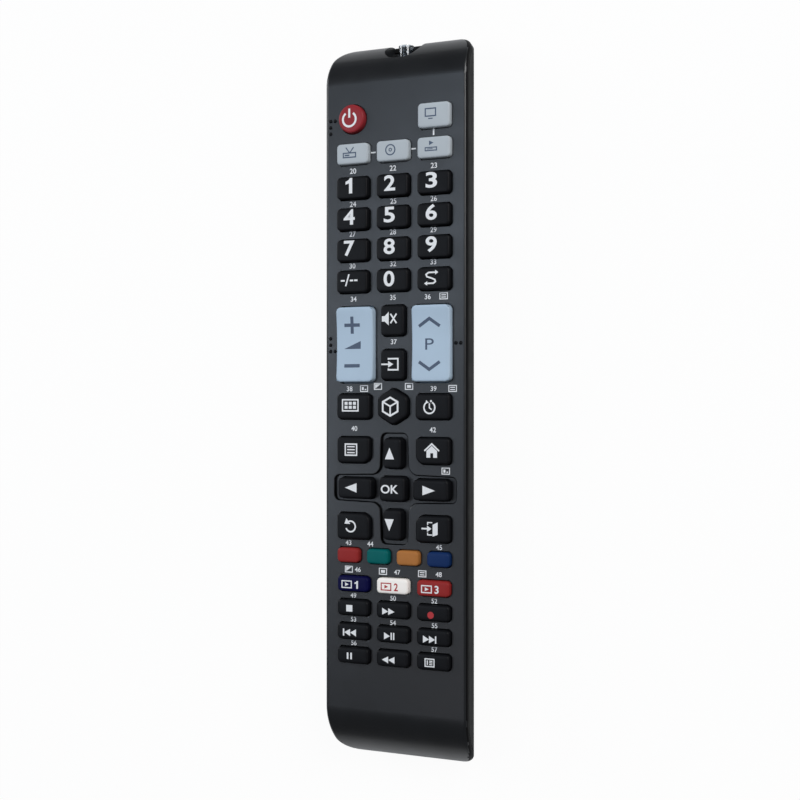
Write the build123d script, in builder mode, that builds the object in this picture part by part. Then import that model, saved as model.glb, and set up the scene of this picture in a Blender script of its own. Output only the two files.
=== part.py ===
from build123d import *
import math
import os
from dataclasses import dataclass

# Universal remote control lying on its back, in millimetres.
# +Z points up through the keys, +Y to the infrared end and +X to the right of the user.
# The origin is on the table, under the middle of the housing.

# Levels of the stack of pieces, from the table upwards
cover_thickness = 1.3
cell_clearance = 0.8
cell_diameter = 10.5
ceiling_gap = 0.2
ceiling_thickness = 1.1
board_gap = 0.3
board_thickness = 1.2
mat_thickness = 1.2
flange_thickness = 1.1
flange_gap = 0.3
face_thickness = 2.0

cell_bottom = cover_thickness + cell_clearance
cell_axis = cell_bottom + cell_diameter / 2
ceiling_bottom = cell_bottom + cell_diameter + ceiling_gap
ceiling_top = ceiling_bottom + ceiling_thickness
board_bottom = ceiling_top + board_gap
board_top = board_bottom + board_thickness
mat_top = board_top + mat_thickness
flange_bottom = mat_top
flange_top = flange_bottom + flange_thickness
face_under = flange_top + flange_gap
face_height = face_under + face_thickness

# Keys: outlines, heights above the face and running gaps
key_gap = 0.35
key_edge = 0.45
key_corner = 0.8
flange_width = 0.6
contact_height = 0.15
press_clearance = 0.05
key_travel = mat_thickness - contact_height - press_clearance
contact_share = 0.55
cut_share = 2 - math.sqrt(2)
digit_width, digit_height, digit_rise = 11.0, 7.05, 2.0
mode_width, mode_height, mode_rise, mode_corner = 11.2, 6.6, 1.7, 1.0
power_size, power_rise = 9.1, 1.8
tv_width, tv_height = 10.9, 7.8
square_width, square_height = 8.15, 9.7
function_width, function_height = 11.7, 8.0
hexagon_height, hexagon_corner = 11.9, 0.9
corner_width, corner_height, corner_rounding = 11.6, 8.3, 2.8
upright_width, upright_height = 6.3, 9.64
level_width, level_height = 12.0, 6.6
ok_width, ok_height = 8.9, 7.75
pad_key_rise = 2.0
colour_width, colour_height, colour_corner = 7.65, 4.65, 0.7
app_width, app_height = 11.0, 4.9
transport_width, transport_height = 11.1, 5.0
low_rise = 1.8

# Rocker keys: a dished top, and a fulcrum under the middle that they tilt on
rocker_width, rocker_length, rocker_corner = 13.1, 24.0, 1.7
rocker_middle_rise, rocker_end_rise = 1.7, 2.5
rocker_gap = 0.5
rocker_flange_rise = 0.8
rocker_flange_thickness = 0.9
rocker_contact_drop = 0.2
rocker_contact_width, rocker_contact_height = 6.0, 3.0
fulcrum_width, fulcrum_length = 6.0, 1.2
fulcrum_clearance = 0.1

# Columns of keys, from the middle of the housing
main_column = 14.2
power_column = 14.6
rocker_column = 13.3
corner_column = 13.85
level_column = 13.25
transport_column = 14.0
colour_pitch = 10.5
side_margin = 5.35

# Rows of keys, each by its distance from the row before, starting at the infrared end
nose_margin = 25.2
tv_drop = 1.2
mode_step = 11.3
digit_step = 10.95
digit_pitch = 10.02
rocker_head_gap, rocker_foot_gap = 4.615, 3.85
mute_rise, source_drop = 7.4, 6.6
pad_step = 26.1
corner_key_rise = 12.2
upright_rise = 11.3
colour_step = 21.6
app_step = 9.1
transport_step = 7.65
tail_margin = 34.55

digit_rows = 4
transport_rows = 3
last_digit_step = (digit_rows - 1) * digit_pitch
rocker_step = digit_height / 2 + rocker_head_gap + rocker_length / 2
function_step = rocker_length / 2 + rocker_foot_gap + function_height / 2
transport_span = (transport_rows - 1) * transport_step
length = (nose_margin + mode_step + digit_step + last_digit_step + rocker_step + function_step
          + pad_step + colour_step + app_step + transport_step + transport_span + tail_margin)
nose_y = length / 2
tail_y = -length / 2
power_row = nose_y - nose_margin
mode_row = power_row - mode_step
digit_row = mode_row - digit_step
rocker_row = digit_row - last_digit_step - rocker_step
function_row = rocker_row - function_step
pad_row = function_row - pad_step
colour_row = pad_row - colour_step
app_row = colour_row - app_step
transport_row = app_row - transport_step
last_row = transport_row - transport_span
width = 2 * (corner_column + corner_width / 2 + side_margin)

# Housing: rolled ends, leaning sides, rounded back
side_lean = 8.0
hull_radius = 15.0
nose_seam = 6.0
tail_seam = 2.4
plan_corner = 7.5
face_edge = 1.3
wall = 1.6
seam_groove = 0.35
seam_groove_depth = 0.5
overrun = 5.0

nose_roll = face_height - nose_seam
tail_roll = face_height - tail_seam
lean_share = math.tan(math.radians(side_lean))
slant_share = 1 / math.cos(math.radians(side_lean))

# Recess round the direction keys
recess_depth = 1.0
recess_arm_width, recess_end_width = 9.8, 8.9
recess_arm_height, recess_end_height = 8.7, 7.8
recess_half_width = 21.2
recess_half_height = 17.5
recess_flare = 3.4
recess_corner = 1.6

# Tactile dots beside the power key and the rockers
dot_diameter = 1.2
dot_sides = 8
dot_height = 0.4
dot_taper = 25.0
dot_pitch = 2.05
dot_column_pitch = 1.65
dot_edge_margin = 2.2

# Infrared notch and emitter
notch_width = 12.7
notch_height = 11.2
notch_corner = 4.5
notch_depth = 7.0
notch_wall = 1.2
notch_clearance = 0.4
led_diameter = 5.0
led_rise = 4.8
led_gap = 0.1
led_flange_diameter = 5.8
led_flange_thickness = 1.0
led_tip_setback = 0.5
led_lead = 0.5
led_lead_pitch = 2.54
led_lead_length = 2.6

# Inner rails, ribs and snap hooks of the front moulding
rail_wall = 1.0
rail_depth = 1.3
rail_gap = 0.3
rail_end_margin = 20.0
rib_wall = 0.8
hook_length, hook_height, hook_reach = 6.0, 0.7, 0.7
hook_gap = 0.15
hook_share = 0.72

# Shelf for the board
shelf_thickness = 1.3
shelf_overlap = 1.0
board_side_gap = 0.8
board_nose_gap = 11.0
board_tail_margin = 9.0
board_corner = 2.0
mat_edge_gap = 0.3
mat_gap = 0.3

# Electronic components under the board, placed along it by shares of its length
chip_length, chip_width, chip_height, chip_share = 12.8, 7.5, 2.3, 0.62
crystal_length, crystal_width, crystal_height, crystal_share = 10.5, 4.6, 3.5, 0.71
capacitor_length, capacitor_diameter, capacitor_share = 11.0, 5.0, 0.84
transistor_length, transistor_diameter, transistor_share = 4.6, 4.6, 0.92
resistor_length, resistor_width, resistor_height, resistor_share = 3.2, 1.6, 0.6, 0.52
resistor_pitch, resistor_count = 4.0, 4
component_column = 9.0

# Battery bay and cover
cell_length = 44.5
cell_nub_length, cell_nub_diameter = 1.0, 3.8
cell_pitch = 10.9
cell_side_gap = 0.5
bay_wall = 1.2
bay_setback = 9.5
cover_step_width = 2.6
cover_overlap = 5.0
cover_gap = 0.2
cover_lift = 0.35
ledge_thickness = 1.2
ledge_overlap = 3.0
tongue_low, tongue_high = 0.55, 0.95
tongue_reach = 0.9
tongue_gap = 0.2
detent_width, detent_length, detent_height, detent_setback = 8.0, 1.0, 0.2, 2.4
detent_gap = 0.2
grip_count = 6
grip_width, grip_depth, grip_pitch, grip_setback = 15.0, 0.4, 1.7, 6.0
grip_groove = 0.8
plate_thickness = 0.4
plate_width, plate_height = 8.6, 8.6
plate_tab_width = 2.0
plate_slot_gap = 0.2
spring_length = 7.2
spring_wire = 0.6
spring_wide, spring_narrow = 3.3, 2.0
spring_turns = 3
wire_sides = 4
spring_gap = 0.1

bay_tail = tail_y + bay_setback
bay_nose = bay_tail + cell_length + 2 * plate_thickness + spring_length
bay_half = cell_pitch / 2 + cell_diameter / 2 + cell_side_gap
cover_half = bay_half + cover_step_width
cover_nose = bay_nose + cover_overlap

# Screw under the cover
screw_setback = 5.2
screw_diameter, screw_head_diameter, screw_head_height = 2.2, 4.2, 1.4
screw_length = 7.0
screw_recess = 0.5
screw_gap = 0.05
screw_head_gap = 0.2
post_diameter = 5.6
post_height = 3.55


@dataclass
class Key:
    """One key: its name, its place, its outline and how far it stands above the face."""

    name: str
    x: float
    y: float
    width: float
    height: float
    rise: float
    shape: str = "block"
    corner: float = key_corner


def row_of_keys(names, column, y, size_x, size_y, rise, corner=key_corner):
    """Place keys of one size side by side, centred on the housing."""
    first = -(len(names) - 1) / 2
    return [
        Key(name, (first + number) * column, y, size_x, size_y, rise, "block", corner)
        for number, name in enumerate(names)
    ]


keys = [
    Key("power_key", -power_column, power_row, power_size, power_size, power_rise, "round"),
    Key("tv_mode_key", main_column, power_row - tv_drop, tv_width, tv_height, mode_rise,
        "block", mode_corner),
    Key("mute_key", 0, rocker_row + mute_rise, square_width, square_height, low_rise),
    Key("source_key", 0, rocker_row - source_drop, square_width, square_height, low_rise),
    Key("apps_key", -corner_column, function_row, function_width, function_height, low_rise),
    Key("cube_key", 0, function_row, hexagon_height, hexagon_height, low_rise,
        "hexagon", hexagon_corner),
    Key("timer_key", corner_column, function_row, function_width, function_height, low_rise),
    Key("up_key", 0, pad_row + upright_rise, upright_width, upright_height, pad_key_rise),
    Key("left_key", -level_column, pad_row, level_width, level_height, pad_key_rise),
    Key("ok_key", 0, pad_row, ok_width, ok_height, pad_key_rise),
    Key("right_key", level_column, pad_row, level_width, level_height, pad_key_rise),
    Key("down_key", 0, pad_row - upright_rise, upright_width, upright_height, pad_key_rise),
]
for name, side, rise in (
    ("menu_key", -1, 1), ("home_key", 1, 1), ("return_key", -1, -1), ("exit_key", 1, -1),
):
    keys.append(Key(name, side * corner_column, pad_row + rise * corner_key_rise, corner_width,
                    corner_height, low_rise, "corner"))
keys += row_of_keys(("cable_mode_key", "disc_mode_key", "player_mode_key"), main_column,
                    mode_row, mode_width, mode_height, mode_rise, mode_corner)
digit_names = (
    ("digit_1_key", "digit_2_key", "digit_3_key"),
    ("digit_4_key", "digit_5_key", "digit_6_key"),
    ("digit_7_key", "digit_8_key", "digit_9_key"),
    ("dash_key", "digit_0_key", "swap_key"),
)
for row, names in enumerate(digit_names):
    keys += row_of_keys(names, main_column, digit_row - row * digit_pitch,
                        digit_width, digit_height, digit_rise)
keys += row_of_keys(("red_key", "green_key", "orange_key", "blue_key"), colour_pitch,
                    colour_row, colour_width, colour_height, low_rise, colour_corner)
keys += row_of_keys(("app_one_key", "app_two_key", "app_three_key"), transport_column,
                    app_row, app_width, app_height, low_rise)
transport_names = (
    ("stop_key", "forward_key", "record_key"),
    ("previous_key", "play_pause_key", "next_key"),
    ("pause_key", "rewind_key", "info_key"),
)
for row, names in enumerate(transport_names):
    keys += row_of_keys(names, transport_column, transport_row - row * transport_step,
                        transport_width, transport_height, low_rise)
rockers = [
    Key("volume_rocker", -rocker_column, rocker_row, rocker_width, rocker_length,
        rocker_end_rise, "rocker", rocker_corner),
    Key("programme_rocker", rocker_column, rocker_row, rocker_width, rocker_length,
        rocker_end_rise, "rocker", rocker_corner),
]


def key_outline(key, grow, grow_y=None):
    """Draw a key's outline, grown all round, in the sketch that is open."""
    wide = key.width + 2 * grow
    tall = key.height + 2 * (grow if grow_y is None else grow_y)
    with BuildSketch(mode=Mode.PRIVATE) as outline:
        if key.shape == "round":
            Circle(wide / 2)
        elif key.shape == "hexagon":
            RegularPolygon(key.height / 2 + grow * 2 / math.sqrt(3), 6, rotation=30)
            chamfer(outline.vertices(), key.corner)
        elif key.shape == "rocker":
            RectangleRounded(wide, tall, key.corner + grow)
        else:
            Rectangle(wide, tall)
            corners = outline.vertices().sort_by_distance((-key.x, pad_row - key.y))
            if key.shape == "corner":
                fillet(corners.pop(0), corner_rounding + grow)
                corners = outline.vertices().sort_by_distance((-key.x, pad_row - key.y))[2:]
            chamfer(corners, key.corner + grow * cut_share)
    with Locations((key.x, key.y)):
        add(outline.sketch)


def side_region(inset, drop):
    """Draw the side view of all that lies behind the rolled face, moved inwards by inset.

    Past the two ends it reaches up to the seam, lowered by drop.
    """
    with BuildLine() as outline:
        Line((tail_y + tail_roll, face_height - inset), (nose_y - nose_roll, face_height - inset))
        CenterArc((nose_y - nose_roll, nose_seam), nose_roll - inset, 0, 90)
        Polyline((nose_y - inset, nose_seam), (nose_y - inset, -overrun),
                 (tail_y + inset, -overrun), (tail_y + inset, tail_seam))
        CenterArc((tail_y + tail_roll, tail_seam), tail_roll - inset, 90, 90)
    make_face(outline.edges())
    with Locations((0, nose_seam - drop)):
        Rectangle(nose_y + overrun, nose_seam - drop + overrun, align=(Align.MIN, Align.MAX))
    with Locations((0, tail_seam - drop)):
        Rectangle(overrun - tail_y, tail_seam - drop + overrun, align=(Align.MAX, Align.MAX))


def hull_side(inset):
    """Draw the side view of the whole housing, moved inwards by inset."""
    with BuildLine() as outline:
        Line((tail_y + tail_roll, face_height - inset), (nose_y - nose_roll, face_height - inset))
        CenterArc((nose_y - nose_roll, nose_seam), nose_roll - inset, 0, 90)
        CenterArc((nose_y - nose_seam, nose_seam), nose_seam - inset, 270, 90)
        Line((nose_y - nose_seam, inset), (tail_y + tail_seam, inset))
        CenterArc((tail_y + tail_seam, tail_seam), tail_seam - inset, 180, 90)
        CenterArc((tail_y + tail_roll, tail_seam), tail_roll - inset, 90, 90)
    make_face(outline.edges())


def hull_section(inset):
    """Draw the cross-section of the housing, moved inwards by inset."""
    half_high = width / 2 - inset * slant_share
    half_low = half_high - (face_height - inset) * lean_share
    with BuildLine() as outline:
        Polyline((-half_low, inset), (half_low, inset), (half_high, face_height),
                 (-half_high, face_height), close=True)
    make_face(outline.edges())


def section_prism(inset, low_y, high_y):
    """Extrude the cross-section of the housing between two places along it."""
    with BuildPart() as prism:
        with BuildSketch(Plane.XZ.offset(-high_y)) as section:
            hull_section(inset)
            fillet(section.vertices().group_by(Axis.Y)[0], hull_radius - inset)
            fillet(section.vertices().group_by(Axis.Y)[-1], face_edge)
        extrude(amount=high_y - low_y)
    return prism.part


def plan_prism(inset):
    """Extrude the rounded plan of the housing downwards, leaning in like its sides."""
    nose_lead = nose_roll * lean_share
    tail_lead = tail_roll * lean_share
    plan_length = length + nose_lead + tail_lead
    with BuildPart() as prism:
        with BuildSketch(Plane.XY.offset(face_height)):
            with Locations((0, (nose_lead - tail_lead) / 2)):
                RectangleRounded(width - 2 * inset * slant_share,
                                 plan_length - 2 * inset * slant_share, plan_corner - inset)
        extrude(amount=-face_height, taper=side_lean)
    return prism.part


def side_prism(inset, drop):
    """Extrude the side view behind the rolled face across the whole width."""
    with BuildPart() as prism:
        with BuildSketch(Plane.YZ):
            side_region(inset, drop)
        extrude(amount=width, both=True)
    return prism.part


def housing_block(inset):
    """Make the housing as one solid block, moved inwards by inset."""
    with BuildPart() as block:
        add(plan_prism(inset))
        add(section_prism(inset, tail_y - overrun, nose_y + overrun), mode=Mode.INTERSECT)
        with BuildSketch(Plane.YZ):
            hull_side(inset)
        extrude(amount=width, both=True, mode=Mode.INTERSECT)
    return block.part


def inner_half(level):
    """Give half the clear width between the side walls at a level."""
    return width / 2 - (face_height - level) * lean_share - wall * slant_share


def section_ring(inner, outer, half_width, low_y, high_y):
    """Make a layer of the rounded back, between two insets, as a strip of one width."""
    with BuildPart() as ring:
        add(section_prism(outer, low_y, high_y))
        add(section_prism(inner, low_y - overrun, high_y + overrun), mode=Mode.SUBTRACT)
        with BuildSketch(Plane.XY.offset(-overrun)):
            with Locations((0, (low_y + high_y) / 2)):
                Rectangle(2 * half_width, high_y - low_y)
        extrude(amount=overrun + hull_radius / 2, mode=Mode.INTERSECT)
    return ring.part


outer_block = housing_block(0)
cavity_block = housing_block(wall)
rear_region = side_prism(face_thickness, 0)
board_half = inner_half(board_bottom) - board_side_gap
board_nose = nose_y - board_nose_gap
board_tail = last_row - board_tail_margin
board_length = board_nose - board_tail
board_middle = (board_nose + board_tail) / 2
rail_low = face_under - rail_depth
rail_outer = inner_half(rail_low) - rail_gap
rail_length = length - 2 * rail_end_margin
hook_y = hook_share * rail_length / 2
cover_seat = cover_thickness + cover_lift
screw_y = tail_y + screw_setback
post_meeting = cover_seat + post_height
notch_back = nose_y - notch_depth
led_z = nose_seam + led_rise

# Post that the screw bites into, cut to the form of the face
with BuildPart() as screw_post:
    with BuildSketch(Plane.XY.offset(post_meeting)):
        with Locations((0, screw_y)):
            Circle(post_diameter / 2)
    extrude(amount=face_height - post_meeting)
    add(outer_block, mode=Mode.INTERSECT)

# Walls round the infrared notch, cut to the form of the nose
with BuildPart() as notch_walls:
    with BuildSketch(Plane.XZ.offset(-nose_y)):
        with Locations((0, nose_seam)):
            Rectangle(notch_width + 2 * notch_wall, notch_height + notch_wall,
                      align=(Align.CENTER, Align.MIN))
    extrude(amount=notch_depth + notch_wall)
    add(outer_block, mode=Mode.INTERSECT)

with BuildPart() as front_shell:
    add(outer_block)
    add(rear_region, mode=Mode.SUBTRACT)

    # Rails that stand inside the long sides of the rear shell, with their snap hooks
    with BuildSketch(Plane.XY.offset(rail_low)):
        with GridLocations(2 * rail_outer - rail_wall, 0, 2, 1):
            Rectangle(rail_wall, rail_length)
    extrude(amount=rail_depth)
    with BuildSketch(Plane.XY.offset(rail_low)):
        with GridLocations(2 * rail_outer, 2 * hook_y, 2, 2):
            Rectangle(2 * (rail_gap + hook_reach), hook_length)
    extrude(amount=hook_height)

    # Ribs that hold the mat down between the rows of keys
    rib_rows = [(mode_row + digit_row) / 2, (colour_row + app_row) / 2]
    rib_rows += [digit_row - (row + 0.5) * digit_pitch for row in range(digit_rows - 1)]
    rib_rows += [transport_row - (row - 0.5) * transport_step for row in range(transport_rows)]
    with BuildSketch(Plane.XY.offset(mat_top)):
        with Locations([(0, row) for row in rib_rows]):
            Rectangle(2 * rail_outer - rail_wall, rib_wall)
    extrude(amount=face_under - mat_top)

    # Screw post near the tail
    add(screw_post.part)
    with BuildSketch(Plane.XY.offset(post_meeting)):
        with Locations((0, screw_y)):
            Circle(screw_diameter / 2 + screw_gap)
    extrude(amount=screw_length - (post_meeting - cover_seat - screw_recess - screw_head_height),
            mode=Mode.SUBTRACT)

    # Cross-shaped recess round the direction keys
    with BuildSketch(Plane.XY.offset(face_height)) as recess:
        quarter = ((recess_half_width, recess_end_height / 2),
                   (recess_arm_width / 2, recess_arm_height / 2),
                   (recess_end_width / 2, recess_half_height))
        upper_half = quarter + tuple((-x, y) for x, y in reversed(quarter))
        with Locations((0, pad_row)):
            Polygon(*upper_half, *((-x, -y) for x, y in upper_half), align=None)
        fillet(recess.vertices().sort_by_distance((0, pad_row))[:4], recess_flare)
        fillet(recess.vertices().sort_by_distance((0, pad_row))[-8:], recess_corner)
    extrude(amount=-recess_depth, mode=Mode.SUBTRACT)

    # Openings for the keys
    with BuildSketch(Plane.XY.offset(face_under)):
        for key in keys:
            key_outline(key, key_gap)
        for rocker in rockers:
            key_outline(rocker, key_gap, rocker_gap)
    extrude(amount=face_thickness + overrun, mode=Mode.SUBTRACT)

    # Walled notch for the infrared emitter
    add(notch_walls.part)
    with BuildSketch(Plane.XY.offset(nose_seam)):
        with Locations((0, notch_back - notch_wall)):
            Rectangle(notch_width + 2 * notch_wall,
                      notch_depth + notch_wall - wall - notch_clearance,
                      align=(Align.CENTER, Align.MIN))
    extrude(amount=-notch_wall)
    with BuildSketch(Plane.XZ.offset(-nose_y - overrun)) as mouth:
        with Locations((0, nose_seam)):
            Rectangle(notch_width, notch_height, align=(Align.CENTER, Align.MIN))
        fillet(mouth.vertices().group_by(Axis.Y)[-1], notch_corner)
    extrude(amount=notch_depth + overrun, mode=Mode.SUBTRACT)
    with BuildSketch(Plane.XZ.offset(-notch_back)):
        with Locations((0, led_z)):
            Circle(led_diameter / 2 + led_gap)
    extrude(amount=notch_wall, mode=Mode.SUBTRACT)

    # Tactile dots in the margins of the face
    dot_x = width / 2 - dot_edge_margin
    dot_inner_x = dot_x - dot_column_pitch
    dot_places = [(-dot_x, row - step * dot_pitch) for row in (power_row, rocker_row + dot_pitch)
                  for step in range(3)]
    dot_places += [(-dot_inner_x, power_row), (-dot_inner_x, rocker_row - dot_pitch),
                   (dot_inner_x, rocker_row), (dot_x, rocker_row)]
    with BuildSketch(Plane.XY.offset(face_height)):
        with Locations(dot_places):
            RegularPolygon(dot_diameter / 2, dot_sides)
    extrude(amount=dot_height, taper=dot_taper)

with BuildPart() as seam_band:
    add(rear_region)
    add(side_prism(face_thickness + seam_groove, seam_groove), mode=Mode.SUBTRACT)
    add(plan_prism(seam_groove_depth), mode=Mode.SUBTRACT)

# Layer behind the battery cover that the cover slides on
with BuildPart() as cover_ledge:
    add(section_ring(cover_seat + ledge_thickness, wall / 2, cover_half + ledge_overlap,
                     tail_y, cover_nose + ledge_overlap))
    add(outer_block, mode=Mode.INTERSECT)
    add(rear_region, mode=Mode.INTERSECT)

# Battery bay and screw socket, before they are hollowed
with BuildPart() as bay_block:
    with BuildSketch(Plane.XY):
        with Locations((0, (bay_tail + bay_nose) / 2)):
            Rectangle(2 * (bay_half + bay_wall), bay_nose - bay_tail + 2 * bay_wall)
    extrude(amount=ceiling_top)
    with BuildSketch(Plane.XY):
        with Locations((0, screw_y)):
            Circle(post_diameter / 2)
    extrude(amount=post_meeting)
    add(section_prism(cover_seat, tail_y, cover_nose), mode=Mode.INTERSECT)

with BuildPart() as rear_shell:
    add(outer_block)
    add(rear_region, mode=Mode.INTERSECT)
    add(cavity_block, mode=Mode.SUBTRACT)
    add(seam_band.part, mode=Mode.SUBTRACT)

    # Shelves that carry the board along both sides
    shelf_inner = board_half - shelf_overlap
    shelf_outer = inner_half(board_bottom - shelf_thickness) + wall / 2
    with BuildSketch(Plane.XY.offset(board_bottom)):
        with Locations((-shelf_inner, board_middle)):
            Rectangle(shelf_outer - shelf_inner, board_length, align=(Align.MAX, Align.CENTER))
        with Locations((shelf_inner, board_middle)):
            Rectangle(shelf_outer - shelf_inner, board_length, align=(Align.MIN, Align.CENTER))
    extrude(amount=-shelf_thickness)

    # Pockets for the snap hooks
    with BuildSketch(Plane.XY.offset(rail_low - hook_gap)):
        with GridLocations(2 * rail_outer, 2 * hook_y, 2, 2):
            Rectangle(2 * (rail_gap + hook_reach + hook_gap), hook_length + 2 * hook_gap)
    extrude(amount=hook_height + 2 * hook_gap, mode=Mode.SUBTRACT)

    # Ledge inside the back, the opening for the battery cover and its side grooves
    add(cover_ledge.part)
    add(section_ring(cover_seat, -overrun, cover_half + cover_gap, tail_y - overrun,
                     cover_nose + cover_gap), mode=Mode.SUBTRACT)
    add(section_ring(tongue_high + tongue_gap, tongue_low - tongue_gap,
                     cover_half + tongue_reach + tongue_gap, tail_y - overrun,
                     cover_nose + cover_gap), mode=Mode.SUBTRACT)
    with BuildSketch(Plane.XY.offset(cover_seat)):
        with Locations((0, cover_nose - detent_setback)):
            Rectangle(detent_width + 2 * detent_gap, detent_length + 2 * detent_gap)
    extrude(amount=detent_height, mode=Mode.SUBTRACT)

    # Battery bay and screw socket standing on the ledge
    add(bay_block.part)
    with BuildSketch(Plane.XY):
        with Locations((0, (bay_tail + bay_nose) / 2)):
            Rectangle(2 * bay_half, bay_nose - bay_tail)
    extrude(amount=ceiling_bottom, mode=Mode.SUBTRACT)
    with BuildSketch(Plane.XY.offset(ceiling_bottom)):
        with Locations((0, bay_nose - plate_thickness / 2)):
            with GridLocations(cell_pitch, 0, 2, 1):
                Rectangle(plate_tab_width + 2 * plate_slot_gap,
                          plate_thickness + 2 * plate_slot_gap)
    extrude(amount=ceiling_thickness, mode=Mode.SUBTRACT)
    with BuildSketch(Plane.XY):
        with Locations((0, screw_y)):
            Circle(screw_head_diameter / 2 + screw_head_gap)
    extrude(amount=cover_seat + screw_recess + screw_head_height, mode=Mode.SUBTRACT)
    with BuildSketch(Plane.XY):
        with Locations((0, screw_y)):
            Circle(screw_diameter / 2 + screw_gap)
    extrude(amount=post_meeting, mode=Mode.SUBTRACT)

with BuildPart() as battery_cover:
    add(section_ring(cover_thickness, 0, cover_half, tail_y, cover_nose))
    add(section_ring(tongue_high, tongue_low, cover_half + tongue_reach, tail_y,
                     cover_nose - tongue_gap))
    add(outer_block, mode=Mode.INTERSECT)
    with BuildSketch(Plane.XY.offset(cover_thickness)):
        with Locations((0, cover_nose - detent_setback)):
            Rectangle(detent_width, detent_length)
    extrude(amount=detent_height)

    # Thumb grip
    with BuildSketch(Plane.XY):
        with Locations([(0, cover_nose - grip_setback - groove * grip_pitch)
                        for groove in range(grip_count)]):
            Rectangle(grip_width, grip_groove)
    extrude(amount=grip_depth, mode=Mode.SUBTRACT)

with BuildPart() as housing_screw:
    with Locations((0, screw_y, cover_seat + screw_recess)):
        Cylinder(screw_head_diameter / 2, screw_head_height,
                 align=(Align.CENTER, Align.CENTER, Align.MIN))
        Cylinder(screw_diameter / 2, screw_head_height + screw_length - screw_gap,
                 align=(Align.CENTER, Align.CENTER, Align.MIN))

with BuildPart() as aaa_cells:
    for side in (-1, 1):
        nub_end = bay_tail + plate_thickness if side < 0 else bay_nose - plate_thickness
        cell_x = side * cell_pitch / 2
        with BuildSketch(Plane.XZ.offset(-nub_end)):
            with Locations((cell_x, cell_axis)):
                Circle(cell_nub_diameter / 2)
        extrude(amount=side * cell_nub_length)
        with BuildSketch(Plane.XZ.offset(side * cell_nub_length - nub_end)):
            with Locations((cell_x, cell_axis)):
                Circle(cell_diameter / 2)
        extrude(amount=side * (cell_length - cell_nub_length))

with BuildPart() as contact_plates:
    with BuildSketch(Plane.XZ.offset(-bay_nose)):
        with Locations((0, cell_axis)):
            with GridLocations(cell_pitch, 0, 2, 1):
                Rectangle(plate_width, plate_height)
        with Locations((0, board_bottom)):
            with GridLocations(cell_pitch, 0, 2, 1):
                Rectangle(plate_tab_width, board_bottom - cell_axis,
                          align=(Align.CENTER, Align.MAX))
    extrude(amount=plate_thickness)
    with BuildSketch(Plane.XZ.offset(-bay_tail)):
        with Locations((0, cell_axis)):
            Rectangle(cell_pitch + plate_width, plate_height)
    extrude(amount=-plate_thickness)


def spring_point(turn, side):
    """Give the place and the direction of a battery spring's wire after a number of turns."""
    share = turn / spring_turns
    angle = 2 * math.pi * turn
    radius = spring_wide + (spring_narrow - spring_wide) * share
    low = plate_thickness + spring_wire / 2 + spring_gap
    rise = spring_length - spring_wire - 2 * spring_gap
    base = bay_nose if side < 0 else bay_tail
    place = Vector(side * cell_pitch / 2 + radius * math.cos(angle),
                   base + side * (low + rise * share), cell_axis + radius * math.sin(angle))
    growth = (spring_narrow - spring_wide) / spring_turns
    turning = 2 * math.pi * radius
    heading = Vector(growth * math.cos(angle) - turning * math.sin(angle),
                     side * rise / spring_turns,
                     growth * math.sin(angle) + turning * math.cos(angle))
    return place, heading.normalized()


def arc_pair_joint(start, start_heading, end, end_heading):
    """Give the point where two arcs meet that join two headings smoothly, and their heading."""
    chord = end - start
    along = chord.dot(start_heading + end_heading)
    spread = 2 * (1 - start_heading.dot(end_heading))
    reach = (math.sqrt(along ** 2 + spread * chord.dot(chord)) - along) / spread
    first = start + start_heading * reach
    second = end - end_heading * reach
    return (first + second) / 2, second - first


with BuildPart() as battery_springs:
    for side in (-1, 1):
        with BuildLine() as wire_path:
            for half in range(2 * spring_turns):
                start, start_heading = spring_point(half / 2, side)
                end, end_heading = spring_point((half + 1) / 2, side)
                joint, joint_heading = arc_pair_joint(start, start_heading, end, end_heading)
                TangentArc(start, joint, tangent=start_heading)
                TangentArc(joint, end, tangent=joint_heading)
        first_place, first_heading = spring_point(0, side)
        with BuildSketch(Plane(origin=first_place, z_dir=first_heading)):
            RegularPolygon(spring_wire / 2, wire_sides)
        sweep(path=wire_path.wires()[0])
turn_gap = min((spring_point(quarter / 4, 1)[0] - spring_point(quarter / 4 + 1, 1)[0]).length
               for quarter in range(4 * (spring_turns - 1))) - spring_wire
print("least gap between the turns of a battery spring", round(turn_gap, 3))

with BuildPart() as circuit_board:
    with BuildSketch(Plane.XY.offset(board_bottom)) as board_outline:
        with Locations((0, board_middle)):
            Rectangle(2 * board_half, board_length)
        chamfer(board_outline.vertices(), board_corner)
    extrude(amount=board_thickness)

with BuildPart() as keypad_mat:
    with BuildSketch(Plane.XY.offset(board_top)) as mat_outline:
        with Locations((0, board_middle)):
            Rectangle(2 * (board_half - mat_edge_gap), board_length - 2 * mat_edge_gap)
        chamfer(mat_outline.vertices(), board_corner)
        for key in keys + rockers:
            with Locations((key.x, key.y)):
                Rectangle(key.width + 2 * (flange_width + mat_gap),
                          key.height + 2 * (flange_width + mat_gap), mode=Mode.SUBTRACT)
    extrude(amount=mat_thickness)

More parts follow.
